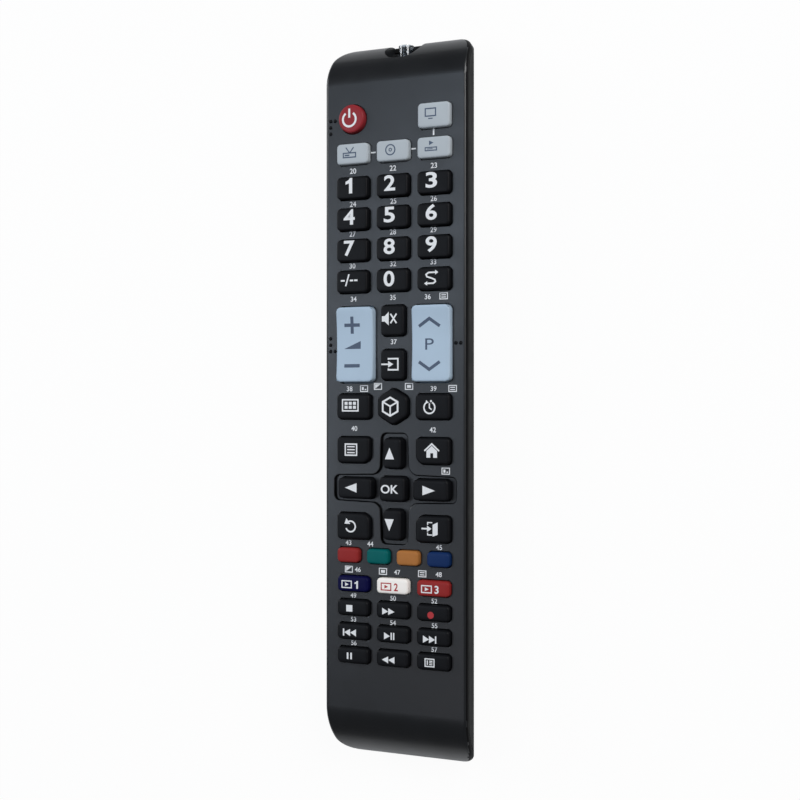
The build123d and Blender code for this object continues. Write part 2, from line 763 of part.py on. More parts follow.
with BuildPart() as board_components:
    with BuildSketch(Plane.XY.offset(board_bottom)):
        with Locations((0, board_tail + chip_share * board_length)):
            Rectangle(chip_width, chip_length)
    extrude(amount=-chip_height)
    with BuildSketch(Plane.XY.offset(board_bottom)):
        with Locations((component_column, board_tail + crystal_share * board_length)):
            SlotOverall(crystal_length, crystal_width)
    extrude(amount=-crystal_height)
    with Locations((-component_column, board_tail + capacitor_share * board_length,
                    board_bottom - capacitor_diameter / 2)):
        Cylinder(capacitor_diameter / 2, capacitor_length, rotation=(90, 0, 0))
    with BuildSketch(Plane.XY.offset(board_bottom)) as transistor:
        with Locations((component_column, board_tail + transistor_share * board_length)):
            Circle(transistor_diameter / 2)
            Rectangle(transistor_diameter, transistor_diameter / 2,
                      align=(Align.CENTER, Align.MIN), mode=Mode.SUBTRACT)
    extrude(amount=-transistor_length)
    with BuildSketch(Plane.XY.offset(board_bottom)):
        with Locations((0, board_tail + resistor_share * board_length)):
            with GridLocations(resistor_pitch, 0, resistor_count, 1):
                Rectangle(resistor_width, resistor_length)
    extrude(amount=-resistor_height)

with BuildPart() as infrared_led:
    led_back = notch_back - notch_wall
    led_body = nose_y - led_tip_setback - led_back
    with BuildSketch(Plane.YZ) as led_profile:
        with BuildLine():
            dome_start = led_back + led_body - led_diameter / 2
            Polyline((led_back + led_body, led_z), (led_back - led_flange_thickness, led_z),
                     (led_back - led_flange_thickness, led_z + led_flange_diameter / 2),
                     (led_back, led_z + led_flange_diameter / 2),
                     (led_back, led_z + led_diameter / 2), (dome_start, led_z + led_diameter / 2))
            CenterArc((dome_start, led_z), led_diameter / 2, 0, 90)
        make_face()
    revolve(axis=Axis((0, 0, led_z), (0, 1, 0)))
    lead_end = led_back - led_flange_thickness - led_lead_length
    with BuildSketch(Plane.XY.offset(led_z - led_lead / 2)):
        with Locations((0, lead_end)):
            with GridLocations(led_lead_pitch, 0, 2, 1):
                Rectangle(led_lead, led_lead_length, align=(Align.CENTER, Align.MIN))
    extrude(amount=led_lead)
    with BuildSketch(Plane.XY.offset(led_z - led_lead / 2)):
        with Locations((0, lead_end)):
            with GridLocations(led_lead_pitch, 0, 2, 1):
                Rectangle(led_lead, led_lead, align=(Align.CENTER, Align.MIN))
    extrude(amount=board_bottom - led_z + led_lead / 2)


def make_key(key):
    """Make one push key: its cap, the flange that holds it in, and its contact."""
    with BuildPart() as piece:
        with BuildSketch(Plane.XY.offset(flange_bottom)):
            with Locations((key.x, key.y)):
                Rectangle(key.width + 2 * flange_width, key.height + 2 * flange_width)
        extrude(amount=flange_thickness)
        with BuildSketch(Plane.XY.offset(flange_top)):
            key_outline(key, 0)
        extrude(amount=face_height + key.rise - flange_top)
        chamfer(piece.edges().group_by(Axis.Z)[-1], key_edge)
        with BuildSketch(Plane.XY.offset(flange_bottom)):
            with Locations((key.x, key.y)):
                Rectangle(contact_share * key.width, contact_share * key.height)
        extrude(amount=-contact_height)
    return piece.part


def make_rocker(key):
    """Make one rocker key: a dished cap on a flange, with two contacts and a fulcrum."""
    flange_low = board_top + rocker_flange_rise
    flange_high = flange_low + rocker_flange_thickness
    tail_end, nose_end = key.y - key.height / 2, key.y + key.height / 2
    with BuildPart() as piece:
        with BuildSketch(Plane.XY.offset(flange_high)):
            key_outline(key, 0)
        extrude(amount=face_height + overrun - flange_high)
        with BuildSketch(Plane.YZ):
            with BuildLine() as dish:
                ThreePointArc((tail_end, face_height + rocker_end_rise),
                              (key.y, face_height + rocker_middle_rise),
                              (nose_end, face_height + rocker_end_rise))
                Polyline((nose_end, face_height + rocker_end_rise), (nose_end, flange_high),
                         (tail_end, flange_high), (tail_end, face_height + rocker_end_rise))
            make_face(dish.edges())
        extrude(amount=width, both=True, mode=Mode.INTERSECT)
        top = piece.faces().filter_by(GeomType.CYLINDER).sort_by(SortBy.AREA)[-1]
        chamfer(top.edges(), key_edge)
        with BuildSketch(Plane.XY.offset(flange_low)):
            with Locations((key.x, key.y)):
                Rectangle(key.width + 2 * flange_width, key.height + 2 * flange_width)
        extrude(amount=rocker_flange_thickness)
        with BuildSketch(Plane.XY.offset(flange_low)):
            with Locations((key.x, key.y)):
                with GridLocations(0, key.height - 2 * rocker_contact_height, 1, 2):
                    Rectangle(rocker_contact_width, rocker_contact_height)
        extrude(amount=-rocker_contact_drop)
        with BuildSketch(Plane.XY.offset(flange_low)):
            with Locations((key.x, key.y)):
                Rectangle(fulcrum_width, fulcrum_length)
        extrude(amount=board_top + fulcrum_clearance - flange_low)
    return piece.part


os.makedirs("parts", exist_ok=True)
fixed_pieces = {
    "front_shell": front_shell.part,
    "rear_shell": rear_shell.part,
    "battery_cover": battery_cover.part,
    "housing_screw": housing_screw.part,
    "aaa_cells": aaa_cells.part,
    "contact_plates": contact_plates.part,
    "battery_springs": battery_springs.part,
    "circuit_board": circuit_board.part,
    "keypad_mat": keypad_mat.part,
    "board_components": board_components.part,
    "infrared_led": infrared_led.part,
}
key_pieces = {key.name: make_key(key) for key in keys}
key_pieces.update({rocker.name: make_rocker(rocker) for rocker in rockers})
for name, piece in (fixed_pieces | key_pieces).items():
    piece.label = name
    export_step(piece, f"parts/{name}.step")
print("key travel", key_travel, "pieces", len(fixed_pieces) + len(key_pieces))
print("housing", length, width, face_height)
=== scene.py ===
"""The dressed model of a universal remote control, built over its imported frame.

Every sub-assembly is a class. Its fields hold sizes in millimetres, or shares of a size, and its
methods model its pieces with Blender's own operators, give them their finishes and set them on
their bodies.
"""

from __future__ import annotations

import logging
import math
from contextlib import contextmanager
from dataclasses import dataclass, field
from enum import Enum
from typing import Callable, Iterable, Iterator, Sequence

import bmesh
import bpy
from mathutils import Matrix, Vector

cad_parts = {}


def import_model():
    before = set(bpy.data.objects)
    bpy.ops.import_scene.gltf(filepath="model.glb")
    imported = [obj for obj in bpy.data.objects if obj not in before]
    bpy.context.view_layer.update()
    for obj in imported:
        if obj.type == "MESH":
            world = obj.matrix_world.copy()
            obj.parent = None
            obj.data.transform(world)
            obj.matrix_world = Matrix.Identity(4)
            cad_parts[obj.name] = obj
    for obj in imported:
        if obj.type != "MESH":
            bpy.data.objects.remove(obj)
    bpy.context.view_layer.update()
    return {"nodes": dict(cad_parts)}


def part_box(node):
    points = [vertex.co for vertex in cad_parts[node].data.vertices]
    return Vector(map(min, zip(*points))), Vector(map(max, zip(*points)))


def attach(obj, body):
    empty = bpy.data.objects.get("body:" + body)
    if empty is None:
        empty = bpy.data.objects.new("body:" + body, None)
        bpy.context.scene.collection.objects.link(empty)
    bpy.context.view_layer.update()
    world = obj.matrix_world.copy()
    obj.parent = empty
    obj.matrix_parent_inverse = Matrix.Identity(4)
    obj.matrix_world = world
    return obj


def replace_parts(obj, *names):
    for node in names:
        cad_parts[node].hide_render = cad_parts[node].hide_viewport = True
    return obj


MM = 0.001
NEAR = 1e-6  # places closer than this, in metres, are one
MITRE_LEAST = 0.35  # keeps the mitre of a sharp turn short
ARC_STEP = 9  # degrees between the points of an arc
DISC_SIDES = 32
DIGIT_TALL = 4.95  # height of the digits on the keys, in millimetres
LOG = logging.getLogger("remote_control")
Place = tuple[float, float]
Spot = tuple[float, float, float]
Grain = tuple[float | Spot, ...]
Piece = bpy.types.Object
Socket = bpy.types.NodeSocket


def upright(first: Vector, last: Vector) -> bool:
    """Tell whether an edge stands upright."""
    return (first.xy - last.xy).length < NEAR


def facing(way: Spot, least: float = 0.9) -> Callable[[Vector, Vector], bool]:
    """Make a test that the faces pass that look one way."""
    return lambda spot, normal: normal.dot(Vector(way)) > least


UP, DOWN = facing((0, 0, 1)), facing((0, 0, -1))


def quarter_arc(inward: float, upward: float, steps: int, sweep: float = 1.0) -> list[Place]:
    """Give the insets that take a face up over a quarter of an ellipse.

    Args:
        inward: how far they go inwards, in millimetres.
        upward: how far they go up, in millimetres.
        steps: how many there are.
        sweep: the share of the quarter that they cover.

    Returns:
        The thickness and depth of each, in millimetres.
    """
    turns = [math.pi / 2 * step / steps * sweep for step in range(steps + 1)]
    return [(inward * (math.cos(start) - math.cos(end)),
             upward * (math.sin(end) - math.sin(start))) for start, end in zip(turns, turns[1:])]


class Bench:
    """The modelling moves that the sub-assemblies share, made with Blender's operators."""

    @staticmethod
    def clear() -> None:
        """Leave object mode on, with nothing selected."""
        if bpy.context.object and bpy.context.object.mode != "OBJECT":
            bpy.ops.object.mode_set(mode="OBJECT")
        bpy.ops.object.select_all(action="DESELECT")

    @staticmethod
    def pick(*pieces: Piece) -> None:
        """Select these pieces alone, the first of them active."""
        Bench.clear()
        for piece in pieces:
            piece.select_set(True)
        bpy.context.view_layer.objects.active = pieces[0]

    @staticmethod
    @contextmanager
    def editing(piece: Piece, mode: str = "FACE") -> Iterator[None]:
        """Hold a piece in edit mode with nothing on it selected.

        Args:
            piece: the piece to shape.
            mode: what is selected on it, VERT, EDGE or FACE.

        Returns:
            A context that leaves object mode on when it ends.
        """
        Bench.pick(piece)
        bpy.ops.object.mode_set(mode="EDIT")
        bpy.ops.mesh.select_mode(type=mode)
        bpy.ops.mesh.select_all(action="DESELECT")
        yield
        bpy.ops.object.mode_set(mode="OBJECT")

    @staticmethod
    def choose(piece: Piece, kind: str, test: Callable[..., bool], turn: float = 0.0) -> int:
        """Select what passes a test on a piece in edit mode, and nothing else.

        Args:
            piece: the piece in edit mode.
            kind: verts, edges or faces.
            test: takes a point's place, an edge's two ends, or a face's middle and normal.
            turn: how sharply an edge has to turn, in degrees, or 0 where it need not.

        Returns:
            How many are selected.
        """
        bpy.ops.mesh.select_all(action="DESELECT")
        shape = bmesh.from_edit_mesh(piece.data)
        if turn:
            shape.normal_update()
        facts = {"verts": lambda point: (point.co,),
                 "edges": lambda edge: [point.co for point in edge.verts],
                 "faces": lambda face: (face.calc_center_median(), face.normal)}[kind]
        found = [part for part in getattr(shape, kind)
                 if (not turn or part.calc_face_angle(0.0) > math.radians(turn))
                 and test(*facts(part))]
        for part in found:
            part.select_set(True)
        if kind == "verts":
            shape.select_flush(True)
        bmesh.update_edit_mesh(piece.data)
        return len(found)

    @staticmethod
    def settled(name: str) -> Piece:
        """Name the active piece and put its place into its mesh."""
        piece = bpy.context.object
        piece.name = piece.data.name = name
        bpy.ops.object.transform_apply(location=True, rotation=True, scale=True)
        return piece

    @staticmethod
    def block(name: str, low: Vector, high: Vector) -> Piece:
        """Add a block between its lowest and highest corner, in metres."""
        Bench.clear()
        bpy.ops.mesh.primitive_cube_add(size=1, location=(low + high) / 2, scale=high - low)
        return Bench.settled(name)

    @staticmethod
    def drum(name: str, centre: Vector, radius: float, height: float, sides: int = 64,
             lying: bool = False) -> Piece:
        """Add a drum.

        Args:
            name: the new piece's name.
            centre: the middle of the drum, in metres.
            radius: its radius, in metres.
            height: its height, in metres.
            sides: how many sides it has.
            lying: whether it lies along the remote control instead of standing.

        Returns:
            The new drum, its place in its mesh.
        """
        Bench.clear()
        bpy.ops.mesh.primitive_cylinder_add(vertices=sides, radius=radius, depth=height,
                                            location=centre,
                                            rotation=(math.pi / 2 if lying else 0, 0, 0))
        return Bench.settled(name)

    @staticmethod
    def raise_faces(height: float) -> None:
        """Extrude the selected faces straight up, or down where height is negative."""
        bpy.ops.mesh.extrude_region_move(TRANSFORM_OT_translate={"value": (0, 0, height)})

    @staticmethod
    def inset(*steps: Place) -> None:
        """Inset the selected faces by each thickness and depth in turn, in millimetres."""
        for thickness, depth in steps:
            bpy.ops.mesh.inset(thickness=thickness * MM, depth=depth * MM)

    @staticmethod
    def bevel(offset: float, segments: int, **settings: object) -> None:
        """Round the selected edges over an offset in millimetres."""
        bpy.ops.mesh.bevel(offset=offset * MM, segments=segments, affect="EDGES", **settings)

    @staticmethod
    def cut(spot: Sequence[float], normal: Spot, **settings: object) -> None:
        """Cut all of a piece in edit mode along the plane through a spot in metres."""
        bpy.ops.mesh.select_all(action="SELECT")
        bpy.ops.mesh.bisect(plane_co=spot, plane_no=normal, **settings)

    @staticmethod
    def scale(centre: Spot, across: float, along: float) -> None:
        """Scale what is selected about a centre in metres, but not in height."""
        bpy.ops.transform.resize(value=(across, along, 1), center_override=centre)

    @staticmethod
    def copy(piece: Piece, name: str, step: Vector) -> Piece:
        """Copy a piece with a mesh of its own, moved by a step in metres."""
        Bench.pick(piece)
        bpy.ops.object.duplicate(linked=False)
        twin = bpy.context.object
        twin.name = twin.data.name = name
        twin.data.transform(Matrix.Translation(step))
        return twin

    @staticmethod
    def join(name: str, pieces: Sequence[Piece]) -> Piece:
        """Join pieces into the first of them, which keeps their finishes."""
        Bench.pick(*pieces)
        if len(pieces) > 1:
            bpy.ops.object.join()
        piece = bpy.context.object
        piece.name = piece.data.name = name
        return piece

    @staticmethod
    def modify(piece: Piece, kind: str, **settings: object) -> None:
        """Add a modifier with these settings and apply it."""
        Bench.pick(piece)
        modifier = piece.modifiers.new(kind.title(), kind)
        for name, value in settings.items():
            setattr(modifier, name, value)
        bpy.ops.object.modifier_apply(modifier=modifier.name)

    @staticmethod
    def carve(piece: Piece, tool: Piece, operation: str, keep: bool = False) -> None:
        """Carve a piece with a tool by a boolean operation, and drop the tool unless kept."""
        Bench.modify(piece, "BOOLEAN", operation=operation, object=tool, solver="EXACT")
        if not keep:
            bpy.data.objects.remove(tool)

    @staticmethod
    def weld(piece: Piece, reach: float, outward: bool = False) -> None:
        """Merge a piece's points within reach, in metres, and turn it outward if asked."""
        with Bench.editing(piece, "VERT"):
            bpy.ops.mesh.select_all(action="SELECT")
            bpy.ops.mesh.remove_doubles(threshold=reach)
            if outward:
                bpy.ops.mesh.normals_make_consistent(inside=False)

    @staticmethod
    def curved(name: str, lines: Iterable[Sequence[Spot]], closed: bool,
               **settings: object) -> Piece:
        """Make a mesh from curves through points.

        Args:
            name: the piece's name.
            lines: the points of each curve, in millimetres.
            closed: whether each curve comes back to its first point.
            settings: what the curve's own fields are set to.

        Returns:
            The piece.
        """
        curve = bpy.data.curves.new(name, "CURVE")
        for key, value in settings.items():
            setattr(curve, key, value)
        for line_points in lines:
            spline = curve.splines.new("POLY")
            spline.points.add(len(line_points) - 1)
            spline.use_cyclic_u = closed
            for point, (x, y, z) in zip(spline.points, line_points):
                point.co = (x * MM, y * MM, z * MM, 1)
        Bench.pick(Bench.linked(name, curve))
        bpy.ops.object.convert(target="MESH")
        return bpy.context.object

    @staticmethod
    def linked(name: str, data: bpy.types.ID) -> Piece:
        """Add an object that holds this data to the scene."""
        piece = bpy.data.objects.new(name, data)
        bpy.context.scene.collection.objects.link(piece)
        return piece

    @staticmethod
    def smooth(piece: Piece, angle: float = 35.0) -> None:
        """Shade a piece smooth, but not over edges sharper than an angle in degrees."""
        Bench.pick(piece)
        bpy.ops.object.shade_smooth_by_angle(angle=math.radians(angle))

    @staticmethod
    def coat(piece: Piece, *finishes: bpy.types.Material) -> None:
        """Give a piece these finishes in place of those it has."""
        piece.data.materials.clear()
        for finish in finishes:
            piece.data.materials.append(finish)


class Wiring:
    """A node tree, and the few moves that fill it."""

    def __init__(self, tree: bpy.types.NodeTree, output: str) -> None:
        """Empty a tree and give it its output node."""
        self.tree = tree
        tree.nodes.clear()
        self.output = self.add(output)

    @staticmethod
    def put(node: bpy.types.Node, **inputs: object) -> bpy.types.Node:
        """Set a node's sockets by name, with underscores for spaces."""
        for name, value in inputs.items():
            node.inputs[name.replace("_", " ")].default_value = value
        return node

    def add(self, kind: str, **inputs: object) -> bpy.types.Node:
        """Add a node by its type without the leading ShaderNode, and set its sockets."""
        return self.put(self.tree.nodes.new("ShaderNode" + kind), **inputs)

    def link(self, source: Socket, target: Socket) -> None:
        """Join one socket to another."""
        self.tree.links.new(source, target)

    def reckon(self, operation: str, first: Socket, second: Socket | float) -> Socket:
        """Reckon with a value and a second value or number."""
        node = self.add("Math")
        node.operation = operation
        self.link(first, node.inputs[0])
        if isinstance(second, float):
            node.inputs[1].default_value = second
        else:
            self.link(second, node.inputs[1])
        return node.outputs[0]

    def mix(self, share: Socket, *shaders: bpy.types.Node) -> None:
        """Show a share of the second shader over the first."""
        blend = self.add("MixShader")
        sources = (share, *(shader.outputs[0] for shader in shaders))
        for source, target in zip(sources, blend.inputs):
            self.link(source, target)
        self.link(blend.outputs[0], self.output.inputs["Surface"])


class Graph(Wiring):
    """A finish's node tree round one surface shader."""

    def __init__(self, name: str) -> None:
        """Start a finish of this name."""
        self.finish = bpy.data.materials.new(name)
        self.finish.use_nodes = True
        super().__init__(self.finish.node_tree, "OutputMaterial")
        self.shader = self.add("BsdfPrincipled")
        self.link(self.shader.outputs[0], self.output.inputs["Surface"])
        self.place = self.add("TexCoord").outputs["Object"]

    def mapped(self, scale: Spot, rotation: Spot = (0, 0, 0)) -> Socket:
        """Give the place on the piece, scaled and turned."""
        mapping = self.add("Mapping", Scale=scale, Rotation=rotation)
        self.link(self.place, mapping.inputs["Vector"])
        return mapping.outputs[0]

    def grain(self, scale: float, detail: float = 3.0, stretch: Spot = (1, 1, 1)) -> Socket:
        """Make a noise over the piece.

        Args:
            scale: how many of its features fit in a metre.
            detail: how many finer layers it has.
            stretch: its scale along each axis.

        Returns:
            The socket that carries the noise.
        """
        noise = self.add("TexNoise", Scale=scale, Detail=detail)
        self.link(self.mapped(stretch), noise.inputs["Vector"])
        return noise.outputs[0]

    def between(self, source: Socket, low: float, high: float) -> Socket:
        """Spread a noise over the range from low to high."""
        spread = self.add("MapRange", From_Min=0.3, From_Max=0.7, To_Min=low, To_Max=high)
        self.link(source, spread.inputs[0])
        return spread.outputs[0]

    def tint(self, noise: Socket, *shades: Sequence[float]) -> None:
        """Colour the surface from a first shade to a second along a noise."""
        ramp = self.add("ValToRGB")
        for stop, shade in zip(ramp.color_ramp.elements, shades):
            stop.color = (*shade, 1)
        self.link(self.between(noise, 0, 1), ramp.inputs[0])
        self.link(ramp.outputs[0], self.shader.inputs["Base Color"])

    def dull(self, noise: Socket, rough: Place) -> None:
        """Vary the surface's roughness between two values along a noise."""
        self.link(self.between(noise, *rough), self.shader.inputs["Roughness"])

    def relief(self, source: Socket, depth: float, strength: float) -> None:
        """Raise the surface along a value by a depth in millimetres, shown with a strength."""
        bump = self.add("Bump", Strength=strength, Distance=depth * MM)
        self.link(source, bump.inputs["Height"])
        self.link(bump.outputs[0], self.shader.inputs["Normal"])


def linear(code: str, share: float = 1.0) -> list[float]:
    """Turn a six-figure colour code into a share of the linear colour that shaders take."""
    parts = [int(code[start:start + 2], 16) / 255 for start in (0, 2, 4)]
    return [share * (part / 12.92 if part <= 0.04045 else ((part + 0.055) / 1.055) ** 2.4)
            for part in parts]


@dataclass(frozen=True)
class Finish:
    """A surface whose shade, gloss and relief vary over the piece.

    The mottle, gloss_grain and relief_grain hold what Graph.grain takes, and shares are the
    shares of the shade at the mottle's two ends.
    """

    name: str
    shade: str
    rough: Place = (0.34, 0.42)
    shares: Place = (0.9, 1.1)
    mottle: Grain = (60,)
    gloss_grain: Grain = (140, 4)
    relief_grain: Grain = (3200, 2)
    depth: float = 0.02
    strength: float = 0.10

    def surface(self) -> dict[str, float]:
        """Give the values of the surface shader's own sockets."""
        return {}

    def make(self) -> bpy.types.Material:
        """Make the finish."""
        graph = Graph(self.name)
        graph.tint(graph.grain(*self.mottle),
                   *(linear(self.shade, share) for share in self.shares))
        graph.dull(graph.grain(*self.gloss_grain), self.rough)
        graph.put(graph.shader, **self.surface())
        graph.relief(graph.grain(*self.relief_grain), self.depth, self.strength)
        return graph.finish


@dataclass(frozen=True)
class Moulded(Finish):
    """A moulded plastic or rubber: its shine, clear coat and how deep light goes."""

    level: float = 0.5
    coat: float = 0.0
    through: float = 0.0

    def surface(self) -> dict[str, float]:
        """Give the values of the surface shader's own sockets."""
        return {"Specular_IOR_Level": self.level, "Coat_Weight": self.coat,
                "Coat_Roughness": 0.12, "Subsurface_Weight": self.through,
                "Subsurface_Scale": 0.001}


@dataclass(frozen=True)
class Ink(Finish):
    """Pad-printed ink: a shade that is a little thin in places."""

    rough: Place = (0.45, 0.6)
    shares: Place = (0.93, 1)
    mottle: Grain = (2600, 4)
    gloss_grain: Grain = (1800,)
    relief_grain: Grain = (5200, 2)
    depth: float = 0.01
    strength: float = 0.15


@dataclass(frozen=True)
class Metal(Finish):
    """A plated metal with the fine lines that drawing or rolling leaves in it."""

    rough: Place = (0.18, 0.34)
    shares: Place = (0.82, 1)
    mottle: Grain = (900, 4)
    gloss_grain: Grain = (5000, 3, (1, 0.05, 1))
    relief_grain: Grain = (5000, 3, (1, 0.05, 1))
    depth: float = 0.01
    strength: float = 0.2

    def surface(self) -> dict[str, float]:
        """Give the values of the surface shader's own sockets."""
        return {"Metallic": 1.0}


@dataclass(frozen=True)
class Resin(Finish):
    """A clear cast resin that bends light as epoxy does, with faint flow marks."""

    rough: Place = (0.02, 0.06)
    shares: Place = (0.96, 1)
    mottle: Grain = (300,)
    gloss_grain: Grain = (900,)
    relief_grain: Grain = (700, 1)
    strength: float = 0.08

    def surface(self) -> dict[str, float]:
        """Give the values of the surface shader's own sockets."""
        return {"Transmission_Weight": 1.0, "IOR": 1.54}


@dataclass(frozen=True)
class Board:
    """A printed board's lacquer, a little proud of the rows of tracks that show through it."""

    name: str
    shade: str
    track: str
    pitch: float = 1.5
    run: float = 14.0
    line: float = 0.16

    def make(self) -> bpy.types.Material:
        """Make the finish."""
        graph = Graph(self.name)
        tracks = graph.add("TexBrick", Scale=1.0, Mortar_Size=self.line, Mortar_Smooth=0.1,
                           Brick_Width=self.run, Row_Height=self.pitch,
                           Color1=(*linear(self.shade), 1), Color2=(*linear(self.shade, 0.9), 1),
                           Mortar=(*linear(self.track), 1))
        graph.link(graph.mapped((1 / MM,) * 3, (0, 0, math.radians(90))),
                   tracks.inputs["Vector"])
        graph.link(tracks.outputs["Color"], graph.shader.inputs["Base Color"])
        graph.dull(graph.grain(900), (0.24, 0.36))
        graph.put(graph.shader, Coat_Weight=0.4, Coat_Roughness=0.12)
        graph.relief(tracks.outputs["Fac"], 0.03, 0.5)
        return graph.finish


class Finishes:
    """Every finish of the remote control, made once."""

    def __init__(self) -> None:
        """Make the finishes."""
        steady, still = (0.94, 1.06), (0.96, 1.04)
        plans = [
            Moulded("shell_black", "15171a", (0.28, 0.34), strength=0.12),
            # painted shade: a darker, duller black for the strip by the seam and the recess wall,
            # where shade falls
            Moulded("painted_shade_black", "060607", (0.5, 0.6), level=0.1),
            Moulded("shell_grey", "171819", (0.50, 0.60), strength=0.25, depth=0.03, level=0.12),
            Moulded("key_black", "111215", (0.42, 0.50), level=0.12),
            Moulded("key_pale", "b2c6d8", (0.42, 0.5), still, level=0.2),
            Moulded("key_mist", "b5bdc3", (0.42, 0.5), still, level=0.2),
            Moulded("key_red", "932d33", (0.30, 0.38), steady, level=0.14),
            Moulded("key_white", "fffaf4", (0.40, 0.5), (0.98, 1.02), level=0.2),
            Moulded("cell_sleeve", "23262b", (0.2, 0.3), coat=0.5),
            Moulded("cell_band", "9a5a2c", (0.2, 0.3), coat=0.5),
            Moulded("mat_grey", "3c3f44", (0.5, 0.65), through=0.2),
            Moulded("component_black", "101112", (0.4, 0.55), relief_grain=(2600, 2)),
            Moulded("capacitor_blue", "18233f", (0.25, 0.35), coat=0.3),
            Board("board_green", "0f3a24", "1d5a38"),
            Ink("ink_white", "eceef0"), Ink("ink_slate", "47566d"), Ink("ink_red", "b3262c"),
            # the clear resin's grey tint is painted shade: it darkens the dome the way dark
            # surroundings seen through a clear dome would
            Metal("plated_steel", "c9cccf"), Resin("clear_resin", "a4acb4"),
        ]
        for name, shade, level in (("dark_red", "922b2a", 0.12), ("green", "03605f", 0.10),
                                   ("orange", "ac713c", 0.12), ("blue", "142e5c", 0.10),
                                   ("navy", "08093c", 0.10)):
            plans.append(Moulded("key_" + name, shade, (0.40, 0.5), steady, level=level))
        self.made = {plan.name: plan.make() for plan in plans}

    def __getitem__(self, name: str) -> bpy.types.Material:
        """Give a finish by its name."""
        return self.made[name]


def pairs(*numbers: float) -> tuple[Place, ...]:
    """Pair numbers up into places."""
    return tuple(zip(numbers[::2], numbers[1::2]))


@dataclass(frozen=True)
class Stroke:
    """A line of one width through points, open or closed, in millimetres."""

    points: tuple[Place, ...]
    width: float
    closed: bool = False

    def loops(self) -> list[list[Place]]:
        """Give one loop round an open line, or the outer and inner loop of a closed one."""
        left, right = self.side(1), self.side(-1)
        return [left, right] if self.closed else [left + right[::-1]]

    def side(self, sign: int) -> list[Place]:
        """Step off the line to one side.

        Args:
            sign: 1 for the left side, -1 for the right.

        Returns:
            The points of that side, mitred where the line turns.
        """
        count = len(self.points)
        found = []
        for index, point in enumerate(self.points):
            here = Vector(point)
            runs = []
            if index or self.closed:
                runs.append((here - Vector(self.points[index - 1])).normalized())
            if index + 1 < count or self.closed:
                runs.append((Vector(self.points[(index + 1) % count]) - here).normalized())
            across = [Vector((-run.y, run.x)) for run in runs]
            mitre = sum(across, Vector((0, 0))).normalized()
            reach = self.width / 2 / max(mitre.dot(across[0]), MITRE_LEAST)
            found.append(tuple(here + mitre * reach * sign))
        return found


@dataclass(frozen=True)
class Patch:
    """A filled shape between points, in millimetres."""

    points: tuple[Place, ...]

    def loops(self) -> list[list[Place]]:
        """Give the shape's one outline."""
        return [list(self.points)]


@dataclass(frozen=True)
class Ring:
    """Part of a circle drawn with one width, in millimetres and degrees."""

    centre: Place
    radius: float
    width: float
    start: float = 0.0
    sweep: float = 360.0

    def loops(self) -> list[list[Place]]:
        """Give the outlines of the arc."""
        whole = abs(self.sweep) >= 360
        steps = max(6, round(abs(self.sweep) / ARC_STEP))
        angles = [math.radians(self.start + self.sweep * step / steps)
                  for step in range(steps + (0 if whole else 1))]
        points = tuple((self.centre[0] + self.radius * math.cos(angle),
                        self.centre[1] + self.radius * math.sin(angle)) for angle in angles)
        return Stroke(points, self.width, whole).loops()


@dataclass(frozen=True)
class Disc:
    """A filled circle, in millimetres."""

    centre: Place
    radius: float

    def loops(self) -> list[list[Place]]:
        """Give the circle's outline."""
        return [[(self.centre[0] + self.radius * math.cos(math.tau * step / DISC_SIDES),
                  self.centre[1] + self.radius * math.sin(math.tau * step / DISC_SIDES))
                 for step in range(DISC_SIDES)]]


@dataclass(frozen=True)
class Glyph:
    """Numerals set in a box of low corner and high corner, in millimetres."""

    text: str
    low: Place
    high: Place
    weight: float = 0.03
    kept: bool = False


Mark = Stroke | Patch | Ring | Disc | Glyph


def line(width: float, *numbers: float) -> Stroke:
    """Draw an open line through places."""
    return Stroke(pairs(*numbers), width)


def loop(width: float, *numbers: float) -> Stroke:
    """Draw a closed line through places."""
    return Stroke(pairs(*numbers), width, True)


def fill(*numbers: float) -> Patch:
    """Fill the shape between places."""
    return Patch(pairs(*numbers))


def bar(left: float, low: float, right: float, high: float) -> Patch:
    """Fill a rectangle."""
    return fill(left, low, right, low, right, high, left, high)


def box(left: float, low: float, right: float, high: float, width: float) -> Stroke:
    """Draw the outline of a rectangle, measured over the line's outer side."""
    half = width / 2
    return loop(width, left + half, low + half, right - half, low + half,
                right - half, high - half, left + half, high - half)


def grid(left: float, low: float, right: float, high: float, width: float) -> tuple[Mark, ...]:
    """Draw a screen with a grid of tiles."""
    wide, tall = right - left, high - low
    tiles = []
    for column in range(3):
        for row in range(2):
            x, y = left + wide * (0.16 + 0.25 * column), low + tall * (0.22 + 0.32 * row)
            tiles.append(bar(x, y, x + wide * 0.18, y + tall * 0.24))
    return (box(left, low, right, high, width), *tiles)


def digit(text: str, left: float, low: float, right: float, high: float) -> Mark:
    """Print a bold numeral in a box, the one with a drawn flag and stem."""
    if text != "1":
        return Glyph(text, (left, low), (right, high), 0.022)
    share = (high - low) / DIGIT_TALL
    outline = pairs(1.15, 4.95, 0, 4.95, 0, 0, 0.85, 0, 1.3, 0.65, 2.4, 1.15, 2.4, 2.05, 1.15, 1.7)
    return Patch(tuple((right - 0.1 - x * share, high - y * share) for x, y in outline))


